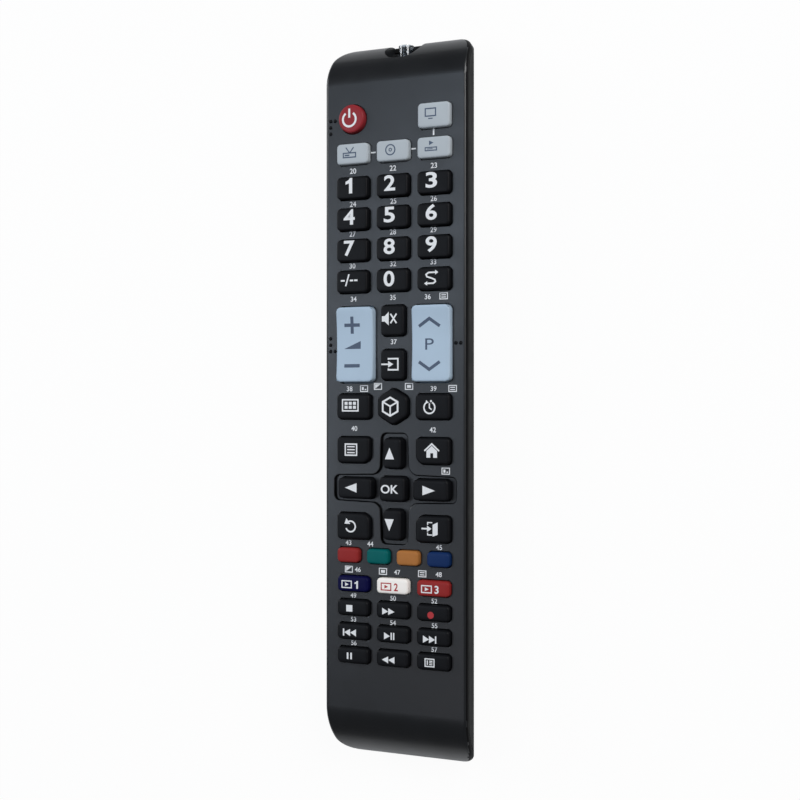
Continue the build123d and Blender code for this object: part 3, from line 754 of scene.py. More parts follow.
class Printer:
    """Turns marks into thin raised ink."""

    thickness = 0.05
    step = 0.0012
    layers = 12

    def shape(self, name: str, marks: Sequence[Mark], origin: Place, level: float,
              finish: bpy.types.Material) -> Piece:
        """Make the ink of a group of marks.

        Args:
            name: the name of the ink's object.
            marks: what is printed.
            origin: the place that the marks are measured from, in millimetres.
            level: the height of the ink's top, in millimetres.
            finish: the ink.

        Returns:
            One mesh with all the marks.
        """
        made = []
        for index, mark in enumerate(marks):
            if isinstance(mark, Glyph):
                piece = self.glyph(mark)
            else:
                outlines = [[(x, y, 0) for x, y in outline] for outline in mark.loops()]
                piece = Bench.curved("mark", outlines, True, dimensions="2D", fill_mode="BOTH",
                                     extrude=self.thickness / 2 * MM)
            lift = (level - self.thickness / 2 + index % self.layers * self.step) * MM
            piece.data.transform(Matrix.Translation((origin[0] * MM, origin[1] * MM, lift)))
            Bench.coat(piece, finish)
            made.append(piece)
        piece = Bench.join(name, made)
        Bench.weld(piece, 2e-7, outward=True)
        return piece

    def glyph(self, mark: Glyph) -> Piece:
        """Set numerals, make them a mesh, and fit that to its box.

        Args:
            mark: the numerals and their box.

        Returns:
            The numerals' mesh, its middle at height zero.
        """
        half = 0.01
        Bench.clear()
        bpy.ops.object.text_add()
        data = bpy.context.object.data
        data.body, data.offset, data.resolution_u, data.extrude = mark.text, mark.weight, 5, half
        bpy.ops.object.convert(target="MESH")
        piece = bpy.context.object
        across = [point.co.x for point in piece.data.vertices]
        along = [point.co.y for point in piece.data.vertices]
        scale_y = (mark.high[1] - mark.low[1]) / (max(along) - min(along))
        scale_x = (scale_y if mark.kept
                   else (mark.high[0] - mark.low[0]) / (max(across) - min(across)))
        centre = Vector(((mark.low[0] + mark.high[0]) / 2, (mark.low[1] + mark.high[1]) / 2, 0))
        middle = Vector(((max(across) + min(across)) / 2, (max(along) + min(along)) / 2, 0))
        size = Matrix.Diagonal((scale_x * MM, scale_y * MM, self.thickness / 2 * MM / half, 1))
        piece.data.transform(Matrix.Translation(centre * MM) @ size
                             @ Matrix.Translation(-middle))
        return piece


class KeyForm(Enum):
    """The forms that a key's cap has."""

    PLAIN = "plain"
    ROUND = "round"
    HEXAGON = "hexagon"
    CORNER = "corner"
    ROCKER = "rocker"


@dataclass(frozen=True)
class KeyPlan:
    """One key: the solid that it stands for, its marks, form, finish and ink."""

    node: str
    marks: tuple[Mark, ...]
    form: KeyForm
    finish: str
    ink: str


MODE_KEYS = ("tv_mode_key", "cable_mode_key", "disc_mode_key", "player_mode_key")
ROCKERS = ("volume_rocker", "programme_rocker")
# The keys' marks in millimetres from each key's middle; numbers in a row are x, y, x, y.
MARKS: dict[str, tuple[Mark, ...]] = {
    "power_key": (Ring((-0.5, -0.2), 2.3, 0.68, 125, 290), bar(-0.86, 0.3, -0.16, 3.2)),
    "tv_mode_key": (box(-2.9, -0.55, 1, 2.2, 0.4), bar(-1.7, -1.3, -0.2, -0.95)),
    "cable_mode_key": (box(-3.3, -1.3, 1.5, 0.5, 0.4), bar(-2.6, -0.65, -0.9, -0.2),
        line(0.35, -0.9, 0.4, -2.2, 2.1), line(0.35, -0.7, 0.4, 0.6, 2.1)),
    "disc_mode_key": (Ring((-0.6, 0.25), 1.6, 0.4), Ring((-0.6, 0.25), 0.45, 0.3)),
    "player_mode_key": (box(-2.9, -1.2, 1.3, 0.1, 0.35), bar(-2.1, -0.65, -0.2, -0.4),
        fill(-1.4, 0.6, -1.4, 2.1, 0.1, 1.35)),
    "dash_key": (bar(-3.85, 0.1, -2.45, 0.65), line(0.5, -2.1, -1.4, -0.9, 2.4),
        bar(-0.6, 0.1, 0.6, 0.65), bar(0.95, 0.1, 2.15, 0.65)),
    "swap_key": (
        line(0.5, 1, 1.9, -1.4, 1.9, -2.3, 1.3, -2, 0.6, -0.4, 0.1, 0.7, -0.4, 0.9, -1, 0.2, -1.5,
            -2, -1.5),
        fill(0.8, 1.15, 0.8, 2.65, 1.9, 1.9), fill(-1.9, -0.8, -1.9, -2.2, -3, -1.5)),
    "volume_rocker": (
        fill(-3.5, 5.65, -1.3, 5.65, -1.3, 3.45, -0.2, 3.45, -0.2, 5.65, 2, 5.65, 2, 6.75, -0.2,
            6.75, -0.2, 8.95, -1.3, 8.95, -1.3, 6.75, -3.5, 6.75),
        fill(-3.65, -1.4, 2.25, -1.4, 2.25, 1.1), bar(-3.5, -7.35, 2, -6.25)),
    "programme_rocker": (line(1.0, -3.9, 5.3, -0.3, 7.7, 3.2, 5.3),
        Glyph("P", (-1.8, -2.0), (1.1, 1.5), 0.0), line(1.0, -3.9, -5.8, -0.3, -8.2, 3.2, -5.8)),
    "mute_key": (fill(-3.5, -0.3, -3.5, 1.4, -2.5, 1.4, -1.1, 2.75, -1.1, -1.55, -2.5, -0.3),
        line(0.5, -0.5, -0.9, 1.6, 2.1), line(0.5, -0.5, 2.1, 1.6, -0.9)),
    "source_key": (line(0.5, -1.2, 1.6, -1.2, 1.9, 2.1, 1.9, 2.1, -1.6, -1.2, -1.6, -1.2, -1.2),
        bar(-3.7, -0.1, -1.2, 0.4), fill(-1.3, -0.9, -1.3, 1.2, 0.5, 0.15)),
    "apps_key": grid(-3.9, -1.6, 2.1, 2.4, 0.45),
    "cube_key": (loop(0.6, -0.6, 2.9, -3.2, 1.5, -3.2, -1.5, -0.6, -2.9, 2, -1.5, 2, 1.5),
        line(0.5, -3, 1.4, -0.6, 0.1, 1.8, 1.4), bar(-0.85, -2.7, -0.35, 0)),
    "timer_key": (Ring((-0.9, -0.25), 1.85, 0.5, 120, 300), fill(-2.3, 0.9, -2, 2.1, -1.1, 1.3),
        line(0.42, -0.9, 1.1, -0.9, -0.35, -0.1, -0.9), Disc((-0.35, 1.75), 0.35)),
    "menu_key": (box(-2.9, -1.9, 1.6, 2.1, 0.45), bar(-2, 0.85, 0.7, 1.25),
        bar(-2, -0.1, 0.7, 0.3), bar(-2, -1.05, 0.7, -0.65)),
    "home_key": (line(0.5, -2.6, 0.1, -0.1, 2.3, 2.4, 0.1),
        fill(-1.9, -2, -1.9, 0.1, -0.1, 1.7, 1.7, 0.1, 1.7, -2, 0.4, -2, 0.4, -0.6, -0.6, -0.6,
            -0.6, -2)),
    "return_key": (Ring((-0.8, -0.1), 1.7, 0.5, 130, -290), fill(-3, 0.7, -0.9, 0.7, -2.3, 2.5)),
    "exit_key": (bar(-3.6, -0.05, -1.5, 0.45), fill(-1.7, -0.8, -1.7, 1.2, -0.2, 0.2),
        fill(0.2, -2.2, 0.2, 1.5, 1.9, 2.3, 1.9, -1.6),
        line(0.35, -1.5, 1.4, -1.5, 2.15, 0.1, 2.15), line(0.35, -1.5, -1, -1.5, -1.7, 0.1, -1.7)),
    "up_key": (fill(-0.75, 1.85, -2.35, -1.85, 0.85, -1.85),),
    "left_key": (fill(-3.35, 0.1, 0.85, -1.4, 0.85, 1.6),),
    "ok_key": (Glyph("OK", (-3.8, -1.4), (2.3, 1.35), 0.02),),
    "right_key": (fill(1.65, -0.1, -2.6, 1.4, -2.6, -1.6),),
    "down_key": (fill(-0.85, -1.95, 0.75, 1.85, -2.45, 1.85),),
    "red_key": (),
    "green_key": (),
    "orange_key": (),
    "blue_key": (),
    "stop_key": (bar(-2.2, -1.25, 0, 0.85),),
    "forward_key": (fill(-3.4, -1.45, -3.4, 0.7, -1.3, -0.4),
        fill(-1.3, -1.45, -1.3, 0.7, 0.9, -0.4)),
    "record_key": (Disc((-0.65, -0.6), 1.1),),
    "previous_key": (bar(-3.4, -1.45, -2.9, 0.85), fill(-0.8, -1.45, -0.8, 0.85, -2.9, -0.3),
        fill(1.3, -1.45, 1.3, 0.85, -0.8, -0.3)),
    "play_pause_key": (fill(-2.75, -1.6, -2.75, 0.65, -0.7, -0.5), bar(-0.45, -1.6, 0, 0.65),
        bar(0.4, -1.6, 0.85, 0.65)),
    "next_key": (fill(-3.25, -1.7, -3.25, 0.6, -1.2, -0.55),
        fill(-1.2, -1.7, -1.2, 0.6, 0.85, -0.55), bar(0.85, -1.7, 1.3, 0.6)),
    "pause_key": (bar(-2, -1.2, -1.4, 0.9), bar(-0.75, -1.2, -0.15, 0.9)),
    "rewind_key": (fill(-1.3, -1.45, -1.3, 0.7, -3.5, -0.4),
        fill(0.9, -1.45, 0.9, 0.7, -1.3, -0.4)),
    "info_key": (box(-2.7, -1.5, 0.7, 1.2, 0.35), bar(-1.95, -0.85, -1.55, 0.55),
        bar(-1.1, 0.2, 0, 0.55), bar(-1.1, -0.3, 0, 0), bar(-1.1, -0.85, 0, -0.55)),
}
FORMS = {"power_key": KeyForm.ROUND, "cube_key": KeyForm.HEXAGON,
         **dict.fromkeys(ROCKERS, KeyForm.ROCKER),
         **dict.fromkeys(("menu_key", "home_key", "return_key", "exit_key"), KeyForm.CORNER)}
KEY_FINISHES = {"power_key": "key_red", "red_key": "key_dark_red", "green_key": "key_green",
                "orange_key": "key_orange", "blue_key": "key_blue", "app_one_key": "key_navy",
                "app_two_key": "key_white", "app_three_key": "key_dark_red",
                **dict.fromkeys(MODE_KEYS, "key_mist"), **dict.fromkeys(ROCKERS, "key_pale")}
INKS = {"record_key": "ink_red", "app_two_key": "ink_red",
        **dict.fromkeys(MODE_KEYS + ROCKERS, "ink_slate")}


def key_plans() -> list[KeyPlan]:
    """List the plans of the 49 keys."""
    marks = dict(MARKS)
    spots = {"1": (-2.44, 0.35), "2": (-2.65, 1.25), "3": (-2.45, 1.45), "4": (-2.85, 1.15),
             "5": (-2.75, 1.1), "6": (-2.45, 1.35), "7": (-2.75, 1.05), "8": (-2.8, 1.1),
             "9": (-2.45, 1.35), "0": (-2.8, 0.95)}
    for text, (left, right) in spots.items():
        low = -1.8 if text != "0" else -2.0
        marks[f"digit_{text}_key"] = (digit(text, left, low, right, low + DIGIT_TALL),)
    for text, name in (("1", "one"), ("2", "two"), ("3", "three")):
        marks[f"app_{name}_key"] = (
            box(-3.9, -1.45, -0.2, 1.05, 0.35), fill(-2.6, -0.8, -2.6, 0.4, -1.3, -0.2),
            digit(text, 0.7, -1.45, 2.1, 1.05))
    return [KeyPlan(node, drawn, FORMS.get(node, KeyForm.PLAIN),
                    KEY_FINISHES.get(node, "key_black"), INKS.get(node, "ink_white"))
            for node, drawn in marks.items()]


@dataclass
class Keypad:
    """The 49 keys, each a crowned cap on its flange with its marks printed on it."""

    finishes: Finishes
    flange: float = 0.6
    corner: float = 1.25
    rocker_corner: float = 1.7
    hexagon_corner: float = 0.8
    wide_corner: float = 2.8
    rim: float = 0.65
    rim_steps: int = 5
    crown_in: float = 0.5
    crown_up: float = 0.06
    flange_levels: Place = (16.6, 17.7)
    rocker_levels: Place = (16.2, 17.1)
    fulcrum: Spot = (6.0, 1.2, 15.5)
    dish: float = 0.74
    dish_rows: int = 16
    dish_floor: float = 19.0
    hollow_share: float = 0.3
    hollow_deep: float = 0.15
    ridge_taper: Place = (0.95, 0.5)
    ink_proud: float = 0.02
    ink_rows: int = 22
    ink_row: float = 0.5
    pad_row: float = -27.7
    printer: Printer = field(default_factory=Printer)
    moulds: dict[tuple, tuple[Piece, Vector]] = field(default_factory=dict)

    def build(self) -> list[Piece]:
        """Make every key and set it on its body."""
        keys = []
        for plan in key_plans():
            low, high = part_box(plan.node)
            cap = self.cap(plan, low, high)
            Bench.coat(cap, self.finishes[plan.finish])
            key = self.print_marks(plan, cap, (low + high) / 2, high.z)
            Bench.smooth(key, 32)
            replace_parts(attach(key, plan.node), plan.node)
            keys.append(key)
            LOG.info("key %s", key.name)
        for mould, _ in self.moulds.values():
            bpy.data.objects.remove(mould)
        return keys

    def cap(self, plan: KeyPlan, low: Vector, high: Vector) -> Piece:
        """Take a key's blank from its mould, which is made for the first key of a size.

        Args:
            plan: the key.
            low: the lowest corner of its solid, in metres.
            high: the highest corner of its solid, in metres.

        Returns:
            The blank, in its place.
        """
        centre = (low + high) / 2
        turned = ()
        if plan.form is KeyForm.CORNER:
            turned = (centre.x < 0, centre.y < self.pad_row * MM)
        label = (plan.form, tuple(round(side, 5) for side in high - low), turned)
        if label not in self.moulds:
            self.moulds[label] = (self.mould(plan.form, low, high), centre)
        mould, home = self.moulds[label]
        return Bench.copy(mould, plan.node + "_cap", centre - home)

    def mould(self, form: KeyForm, low: Vector, high: Vector) -> Piece:
        """Model one blank: flange, skirt, rounded rim and crowned top.

        Args:
            form: the cap's form.
            low: the lowest corner of the key's solid, in metres.
            high: the highest corner of the key's solid, in metres.

        Returns:
            The blank.
        """
        centre = (low + high) / 2
        rocker = form is KeyForm.ROCKER
        top = high.z - (self.dish * MM if rocker else 0)
        levels = self.rocker_levels if rocker else self.flange_levels
        base, ledge = levels[0] * MM, levels[1] * MM
        middle = Vector((centre.x, centre.y, (base + ledge) / 2))
        if form is KeyForm.ROUND:
            blank = Bench.drum("blank", middle, (high.x - low.x) / 2, ledge - base, 72)
        elif form is KeyForm.HEXAGON:
            radius = (high.y - low.y) / 2 - self.flange * MM * (1 - 2 / math.sqrt(3))
            blank = Bench.drum("blank", middle, radius, ledge - base, 6)
        else:
            blank = Bench.block("blank", Vector((low.x, low.y, base)),
                                Vector((high.x, high.y, ledge)))
        self.round_corners(blank, form, centre)
        with Bench.editing(blank):
            Bench.choose(blank, "faces", UP)
            Bench.inset((self.flange, 0))
            Bench.raise_faces(top - self.rim * MM - self.crown_up * MM - ledge)
            Bench.inset(*quarter_arc(self.rim, self.rim, self.rim_steps),
                        (self.crown_in, self.crown_up))
            Bench.choose(blank, "faces", DOWN)
            Bench.inset((min(high.x - low.x, high.y - low.y) * self.hollow_share / MM, 0))
            Bench.raise_faces(-self.hollow_deep * MM)
        if rocker:
            self.dish_top(blank, centre, (high.y - low.y) / 2 - self.flange * MM)
            wide, long, foot = (size * MM for size in self.fulcrum)
            ridge = Bench.block("ridge", Vector((centre.x - wide / 2, centre.y - long / 2, foot)),
                                Vector((centre.x + wide / 2, centre.y + long / 2, base)))
            with Bench.editing(ridge):
                Bench.choose(ridge, "faces", DOWN)
                Bench.scale((centre.x, centre.y, foot), *self.ridge_taper)
            blank = Bench.join("blank", [blank, ridge])
        return blank

    def round_corners(self, blank: Piece, form: KeyForm, centre: Vector) -> None:
        """Round a blank's upright edges.

        Args:
            blank: the blank.
            form: the cap's form.
            centre: the blank's middle, in metres.
        """
        if form is KeyForm.ROUND:
            return

        def inner(first: Vector, last: Vector) -> bool:
            """Tell whether an edge is the upright one nearest to the direction keys."""
            return (upright(first, last) and (first.x - centre.x) * centre.x < 0
                    and (first.y - centre.y) * (centre.y - self.pad_row * MM) < 0)

        def square(first: Vector, last: Vector) -> bool:
            """Tell whether an edge is upright and still on a square corner."""
            reach = [abs(first.x - centre.x), abs(first.y - centre.y)]
            sides = [max(abs(point.co.x - centre.x) for point in blank.data.vertices),
                     max(abs(point.co.y - centre.y) for point in blank.data.vertices)]
            return upright(first, last) and all(
                abs(one - other) < 2 * NEAR for one, other in zip(reach, sides))

        with Bench.editing(blank, "EDGE"):
            if form is KeyForm.CORNER:
                Bench.choose(blank, "edges", inner)
                Bench.bevel(self.wide_corner + self.flange, 10)
            Bench.choose(blank, "edges", upright if form is KeyForm.HEXAGON else square)
            corner = {KeyForm.ROCKER: self.rocker_corner,
                      KeyForm.HEXAGON: self.hexagon_corner}.get(form, self.corner)
            Bench.bevel(corner + self.flange, 6)

    def dish_top(self, blank: Piece, centre: Vector, half: float) -> None:
        """Cut a rocker's blank into rows and raise them towards its ends.

        Args:
            blank: the blank.
            centre: its middle, in metres.
            half: half the cap's length, in metres.
        """
        with Bench.editing(blank, "VERT"):
            for row in range(1, self.dish_rows):
                Bench.cut((0, centre.y + half * (2 * row / self.dish_rows - 1), 0), (0, 1, 0))
            shape = bmesh.from_edit_mesh(blank.data)
            floor = self.dish_floor * MM
            levels = sorted({round(point.co.y, 6) for point in shape.verts
                             if point.co.z > floor})
            for level in levels:
                Bench.choose(blank, "verts",
                             lambda spot: spot.z > floor and abs(spot.y - level) < NEAR)
                share = (level - centre.y) / half
                bpy.ops.transform.translate(value=(0, 0, self.dish * MM * share * share))

    def print_marks(self, plan: KeyPlan, cap: Piece, centre: Vector, top: float) -> Piece:
        """Print a key's marks on its cap.

        Args:
            plan: the key.
            cap: its blank.
            centre: the middle of its solid, in metres.
            top: the height of the cap's top, in metres.

        Returns:
            The cap with its ink.
        """
        if not plan.marks:
            return Bench.join(plan.node + "_dressed", [cap])
        origin = (centre.x / MM, centre.y / MM)
        ink = self.printer.shape(plan.node + "_ink", plan.marks, origin,
                                 top / MM + self.ink_proud, self.finishes[plan.ink])
        if plan.form is KeyForm.ROCKER:
            self.lay_down(ink, centre, (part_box(plan.node)[1].y - centre.y) - self.flange * MM)
        return Bench.join(plan.node + "_dressed", [cap, ink])

    def lay_down(self, ink: Piece, centre: Vector, half: float) -> None:
        """Bend a rocker's ink down to its dished top.

        Args:
            ink: the ink, at the height of the rocker's ends.
            centre: the rocker's middle, in metres.
            half: half the cap's length, in metres.
        """
        with Bench.editing(ink, "VERT"):
            for row in range(-self.ink_rows, self.ink_rows + 1):
                Bench.cut((0, centre.y + row * self.ink_row * MM, 0), (0, 1, 0))
        for point in ink.data.vertices:
            share = (point.co.y - centre.y) / half
            point.co.z -= self.dish * MM * (1 - share * share)


@dataclass
class FacePrint:
    """The small white print on the flat face between the keys."""

    finishes: Finishes
    level: float = 20.0
    pad_row: float = -28.2
    tall: float = 1.7
    shrink: float = 0.12
    ink_proud: float = 0.01
    icon_half: Place = (1.42, 1.08)
    dashes: tuple[Mark, ...] = (bar(13.35, 82.95, 13.85, 85.0), bar(5.95, 78.95, 7.55, 79.4),
                                bar(-8.25, 78.8, -6.55, 79.25))
    words: tuple[Place, ...] = (
        (-14.67, 73.59), (-0.48, 73.6), (13.71, 73.44), (-14.7, 62.97), (-0.34, 63.11),
        (13.64, 63.1), (-14.81, 53.36), (-0.47, 53.34), (13.55, 53.33), (-14.87, 43.11),
        (-0.42, 43.23), (13.51, 43.28), (-14.45, 32.43), (-0.49, 32.57), (11.6, 32.4),
        (-0.17, 18.47), (-15.9, 3.62), (13.57, 3.59), (-14.22, -9.15), (13.31, -9.33),
        (-16.3, -45.91), (-8.5, -46.0), (15.45, -46.07), (-12.95, -54.44), (1.0, -54.59),
        (15.33, -54.54), (-14.53, -62.8), (-0.42, -62.92), (13.87, -62.93), (-14.5, -70.48),
        (-0.46, -70.67), (13.92, -70.63), (-14.34, -78.04), (13.86, -78.12))
    boxes: tuple[Place, ...] = (
        (17.02, 32.48), (-10.71, 3.68), (-5.76, 4.34), (5.14, 4.3), (20.06, 3.6),
        (17.73, -22.17), (-16.17, -54.44), (-3.99, -54.54), (9.69, -54.6))
    printer: Printer = field(default_factory=Printer)

    def build(self) -> Piece:
        """Print the face in one piece."""
        marks: list[Mark] = list(self.dashes)
        numbers = [str(number) for number in range(20, 80) if "1" not in str(number)]
        for index, ((x, y), number) in enumerate(zip(self.words, numbers)):
            tall = self.tall * (1 - self.shrink * index / len(self.words)) / 2
            marks.append(Glyph(number, (x - 1, y - tall), (x + 1, y + tall), 0.012, True))
        for index, (x, y) in enumerate(self.boxes):
            marks += self.icon(index, x, y)
        low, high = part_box("ok_key")
        step = (low.y + high.y) / 2 / MM - self.pad_row
        ink = self.printer.shape("face_print", marks, (0, step),
                                 self.level + self.ink_proud, self.finishes["ink_white"])
        Bench.smooth(ink)
        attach(ink, "housing")
        LOG.info("face print, %d marks", len(marks))
        return ink

    def icon(self, index: int, x: float, y: float) -> list[Mark]:
        """Draw one of the small outlined boxes.

        Args:
            index: its place in the list, which sets what is in it.
            x: its middle across, in millimetres.
            y: its middle along, in millimetres.

        Returns:
            The marks.
        """
        wide, tall = self.icon_half
        inside = (
            (bar(x - 0.8, y + 0.2, x + 0.8, y + 0.5), bar(x - 0.8, y - 0.5, x + 0.8, y - 0.2)),
            (bar(x - 0.8, y - 0.5, x - 0.1, y + 0.5), bar(x + 0.25, y - 0.5, x + 0.8, y - 0.15)),
            (fill(x - 1.0, y - 0.7, x + 1.0, y + 0.7, x - 1.0, y + 0.7),),
            (bar(x - 0.7, y - 0.45, x + 0.7, y + 0.45),),
        )[index % 4]
        return [box(x - wide, y - tall, x + wide, y + tall, 0.28), *inside]


@dataclass
class Housing:
    """The two shells and the battery cover, trimmed to a hull whose edges are soft.

    The lean is in degrees. The spare sizes are how far the blocks that cut the hull stand out
    past it. The recess round the direction keys is a wide bar and a long one over a heart.
    """

    finishes: Finishes
    half_width: float = 25.0
    face: float = 20.0
    lean: float = 8.0
    plan_corner: float = 7.5
    back_round: float = 15.0
    nose_roll: float = 14.0
    tail_roll: float = 17.5
    roll_power: float = 1.92
    nose_under: float = 6.0
    tail_under: float = 2.4
    edge: float = 1.4
    shy: float = 0.02
    profile: float = 0.485
    lip: float = 0.12
    rim_height: float = 3.0
    back_share: float = 0.87
    roll_lines: int = 20
    spare: Spot = (40.0, 15.0, 30.0)
    spare_top: float = 5.0
    touch: Spot = (14.9, -115.0, 2.4)
    touch_reach: Spot = (0.15, 1.3, 0.15)
    pad_row: float = -27.7
    recess_half: Place = (21.5, 17.8)
    recess_arms: Place = (5.2, 4.65)
    recess_heart: Place = (8.4, 7.8)
    recess_wall: Place = (19.02, 19.97)
    recess_lip: float = 0.5
    openings: Spot = (23.0, 105.0, 17.9)
    seam_side: float = 24.2
    seam_end: Place = (15.0, 107.5)
    seam_slant: float = 0.62
    opening_corner: float = 0.5
    dot_size: Spot = (0.6, 0.8, 0.42)
    dot_pitch: float = 2.05
    dot_outer: float = 22.8
    dot_inner: float = 21.15

    def build(self) -> list[Piece]:
        """Trim the shells and the cover to the hull and round the rims of their openings."""
        hull = self.hull()
        made = []
        for node, body, finish in (("front_shell", "housing", "shell_black"),
                                   ("rear_shell", "housing", "shell_grey"),
                                   ("battery_cover", "battery_cover", "shell_grey")):
            shell = self.trimmed(node, hull)
            Bench.coat(shell, self.finishes[finish])
            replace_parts(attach(shell, body), node)
            if node == "front_shell":
                LOG.info("%d faces beside the seam", self.darken_seam(shell))
            made.append(shell)
            LOG.info("%s, %d faces", shell.name, len(shell.data.polygons))
        bpy.data.objects.remove(hull)
        return made

    def hull(self) -> Piece:
        """Model the outer form: a leaning plan, a rounded back and two rolled ends.

        Returns:
            The hull, a little inside the solids' outer faces.
        """
        low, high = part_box("front_shell")
        slope = math.tan(math.radians(self.lean))
        half = self.half_width - self.shy
        fall = self.face * slope
        nose, tail = high.y / MM - self.shy, low.y / MM + self.shy
        top, base = self.face - self.shy, self.shy
        fore, aft = nose + self.nose_roll * slope, tail - self.tail_roll * slope
        middle, reach = (fore + aft) / 2, (fore - aft) / 2
        plan = Bench.block("hull", Vector((-half, aft, base)) * MM,
                           Vector((half, fore, top)) * MM)
        narrow, short = (half - fall) / half, (reach - fall) / reach
        with Bench.editing(plan, "EDGE"):
            Bench.choose(plan, "edges", upright)
            Bench.bevel(self.plan_corner, 14)
            lines = self.cut_lines(plan, nose, tail)
            self.draw_in(plan, narrow, short, middle)
            bpy.ops.mesh.select_mode(type="VERT")
            for across in lines:
                end, radius = (nose, self.nose_roll) if across > 0 else (tail, self.tail_roll)
                place, height = self.rolled(across, end, radius, middle, fall / reach, top, base)
                Bench.choose(plan, "verts", lambda spot: spot.z > (top - 0.01) * MM
                             and abs(spot.y - across * MM) < 2 * NEAR)
                share = narrow + (1 - narrow) * (height - base) / (top - base)
                Bench.scale((0, 0, 0), share, 1)
                bpy.ops.transform.translate(value=(0, (place - across) * MM,
                                                   (height - top) * MM))
            bpy.ops.mesh.select_mode(type="EDGE")
            Bench.choose(plan, "edges", lambda first, last: (
                first.z + last.z > 2 * self.rim_height * MM), turn=24)
            Bench.bevel(self.edge, 5, clamp_overlap=False)
        spare_wide, spare_long, spare_tall = self.spare
        back = Bench.block("back", Vector((-half - self.shy / 2, tail - spare_long, base)) * MM,
                           Vector((half + self.shy / 2, nose + spare_long, top)) * MM)
        with Bench.editing(back, "EDGE"):
            self.draw_in(back, narrow, 1.0, 0.0)
            Bench.choose(back, "edges", lambda first, last: max(first.z, last.z) < MM
                         and abs(first.y - last.y) > 0.1)
            Bench.bevel(self.back_round * self.back_share, 24, profile=self.profile)
            bpy.ops.mesh.select_mode(type="FACE")
            Bench.choose(back, "faces", UP)
            Bench.raise_faces(self.spare_top * MM)
        side = Bench.block("side", Vector((-spare_wide, tail, base)) * MM,
                           Vector((spare_wide, nose, spare_tall)) * MM)
        with Bench.editing(side, "EDGE"):
            for end, radius, steps in ((nose, self.nose_under, 12), (tail, self.tail_under, 8)):
                Bench.choose(side, "edges", lambda first, last: abs(first.x - last.x) > 0.05
                             and max(first.z, last.z) < MM and abs(first.y - end * MM) < NEAR)
                Bench.bevel(radius - self.shy * 2, steps, profile=self.profile)
        for form in (back, side):
            Bench.carve(plan, form, "INTERSECT")
        Bench.weld(plan, 2 * NEAR)
        return plan

    def cut_lines(self, plan: Piece, nose: float, tail: float) -> list[float]:
        """Cut the plan across, at its corners' points and down its rolls.

        Args:
            plan: the plan's block in edit mode, its corners rounded.
            nose: where the nose ends, in millimetres.
            tail: where the tail ends, in millimetres.

        Returns:
            The places along it of the lines that the rolls lower, in millimetres.
        """
        shape = bmesh.from_edit_mesh(plan.data)
        first, *inner, last = sorted({round(point.co.y / MM, 4) for point in shape.verts})
        near, far = min(place for place in inner if place > 0), max(
            place for place in inner if place < 0)
        rolls = []
        for step in range(self.roll_lines):
            sine = math.sin(math.radians(90 / self.roll_lines * step))
            rolls += [nose - self.nose_roll * (1 - sine), tail + self.tail_roll * (1 - sine)]
        lines = inner + [place for place in rolls if far + 0.4 < place < near - 0.4]
        for across in lines:
            Bench.cut((0, across * MM, 0), (0, 1, 0), threshold=NEAR)
        return lines + [first, last]

    def rolled(self, across: float, end: float, radius: float, middle: float, lean: float,
               top: float, base: float) -> Place:
        """Find where a line across the plan's top lands on a rolled end.

        Args:
            across: the line's place at the top.
            end: where the rolled end stops.
            radius: the roll's radius.
            middle: the place along that the plan narrows to.
            lean: the share of the plan's length that its base has lost.
            top: the height of the plan's top.
            base: the height of its base.

        Returns:
            The line's place and height on the roll.
        """
        lowest, highest = top - radius, top
        for _ in range(40):
            height = (lowest + highest) / 2
            place = middle + (across - middle) * (1 - lean * (top - height) / (top - base))
            run = min(max((abs(place) - abs(end) + radius) / radius, 0.0), 1.0)
            share = (1 - run ** self.roll_power) ** (1 / self.roll_power)
            if height > top - radius + radius * share:
                highest = height
            else:
                lowest = height
        return place, height

    @staticmethod
    def draw_in(piece: Piece, across: float, along: float, middle: float) -> None:
        """Narrow the underside of a block in edit mode.

        Args:
            piece: the block.
            across: the share of its width that is left.
            along: the share of its length that is left.
            middle: the place along it that it narrows to, in millimetres.
        """
        bpy.ops.mesh.select_mode(type="FACE")
        Bench.choose(piece, "faces", DOWN)
        Bench.scale((0, middle * MM, 0), across, along)
        bpy.ops.mesh.select_mode(type="EDGE")

    def trimmed(self, node: str, hull: Piece) -> Piece:
        """Copy a moulding's solid, trim it to the hull and soften its rims.

        Args:
            node: the solid that is copied.
            hull: the outer form.

        Returns:
            The trimmed moulding.
        """
        shell = Bench.copy(bpy.data.objects[node], node + "_dressed", Vector((0, 0, 0)))
        for key in list(shell.keys()):
            del shell[key]
        shell.parent = None
        Bench.pick(shell)
        bpy.ops.mesh.customdata_custom_splitnormals_clear()
        Bench.weld(shell, NEAR)
        Bench.carve(shell, hull, "INTERSECT", keep=True)
        if node == "rear_shell":
            self.part_edges(shell)
        with Bench.editing(shell, "FACE"):
            bpy.ops.mesh.select_all(action="SELECT")
            bpy.ops.mesh.dissolve_limited(angle_limit=math.radians(0.5))
        if node == "front_shell":
            self.round_openings(shell)
        Bench.modify(shell, "BEVEL", width=self.lip * MM, segments=2, limit_method="ANGLE",
                     angle_limit=math.radians(50), use_clamp_overlap=True)
        Bench.smooth(shell, 30)
        Bench.modify(shell, "WEIGHTED_NORMAL", weight=90, keep_sharp=True)
        return shell

    def part_edges(self, shell: Piece) -> None:
        """Cut away the two edges, one a side, where walls of the tub only touch each other."""
        across, along, height = self.touch
        for side in (-1, 1):
            middle = Vector((side * across, along, height))
            reach = Vector(self.touch_reach)
            relief = Bench.block("relief", (middle - reach) * MM, (middle + reach) * MM)
            Bench.carve(shell, relief, "DIFFERENCE")

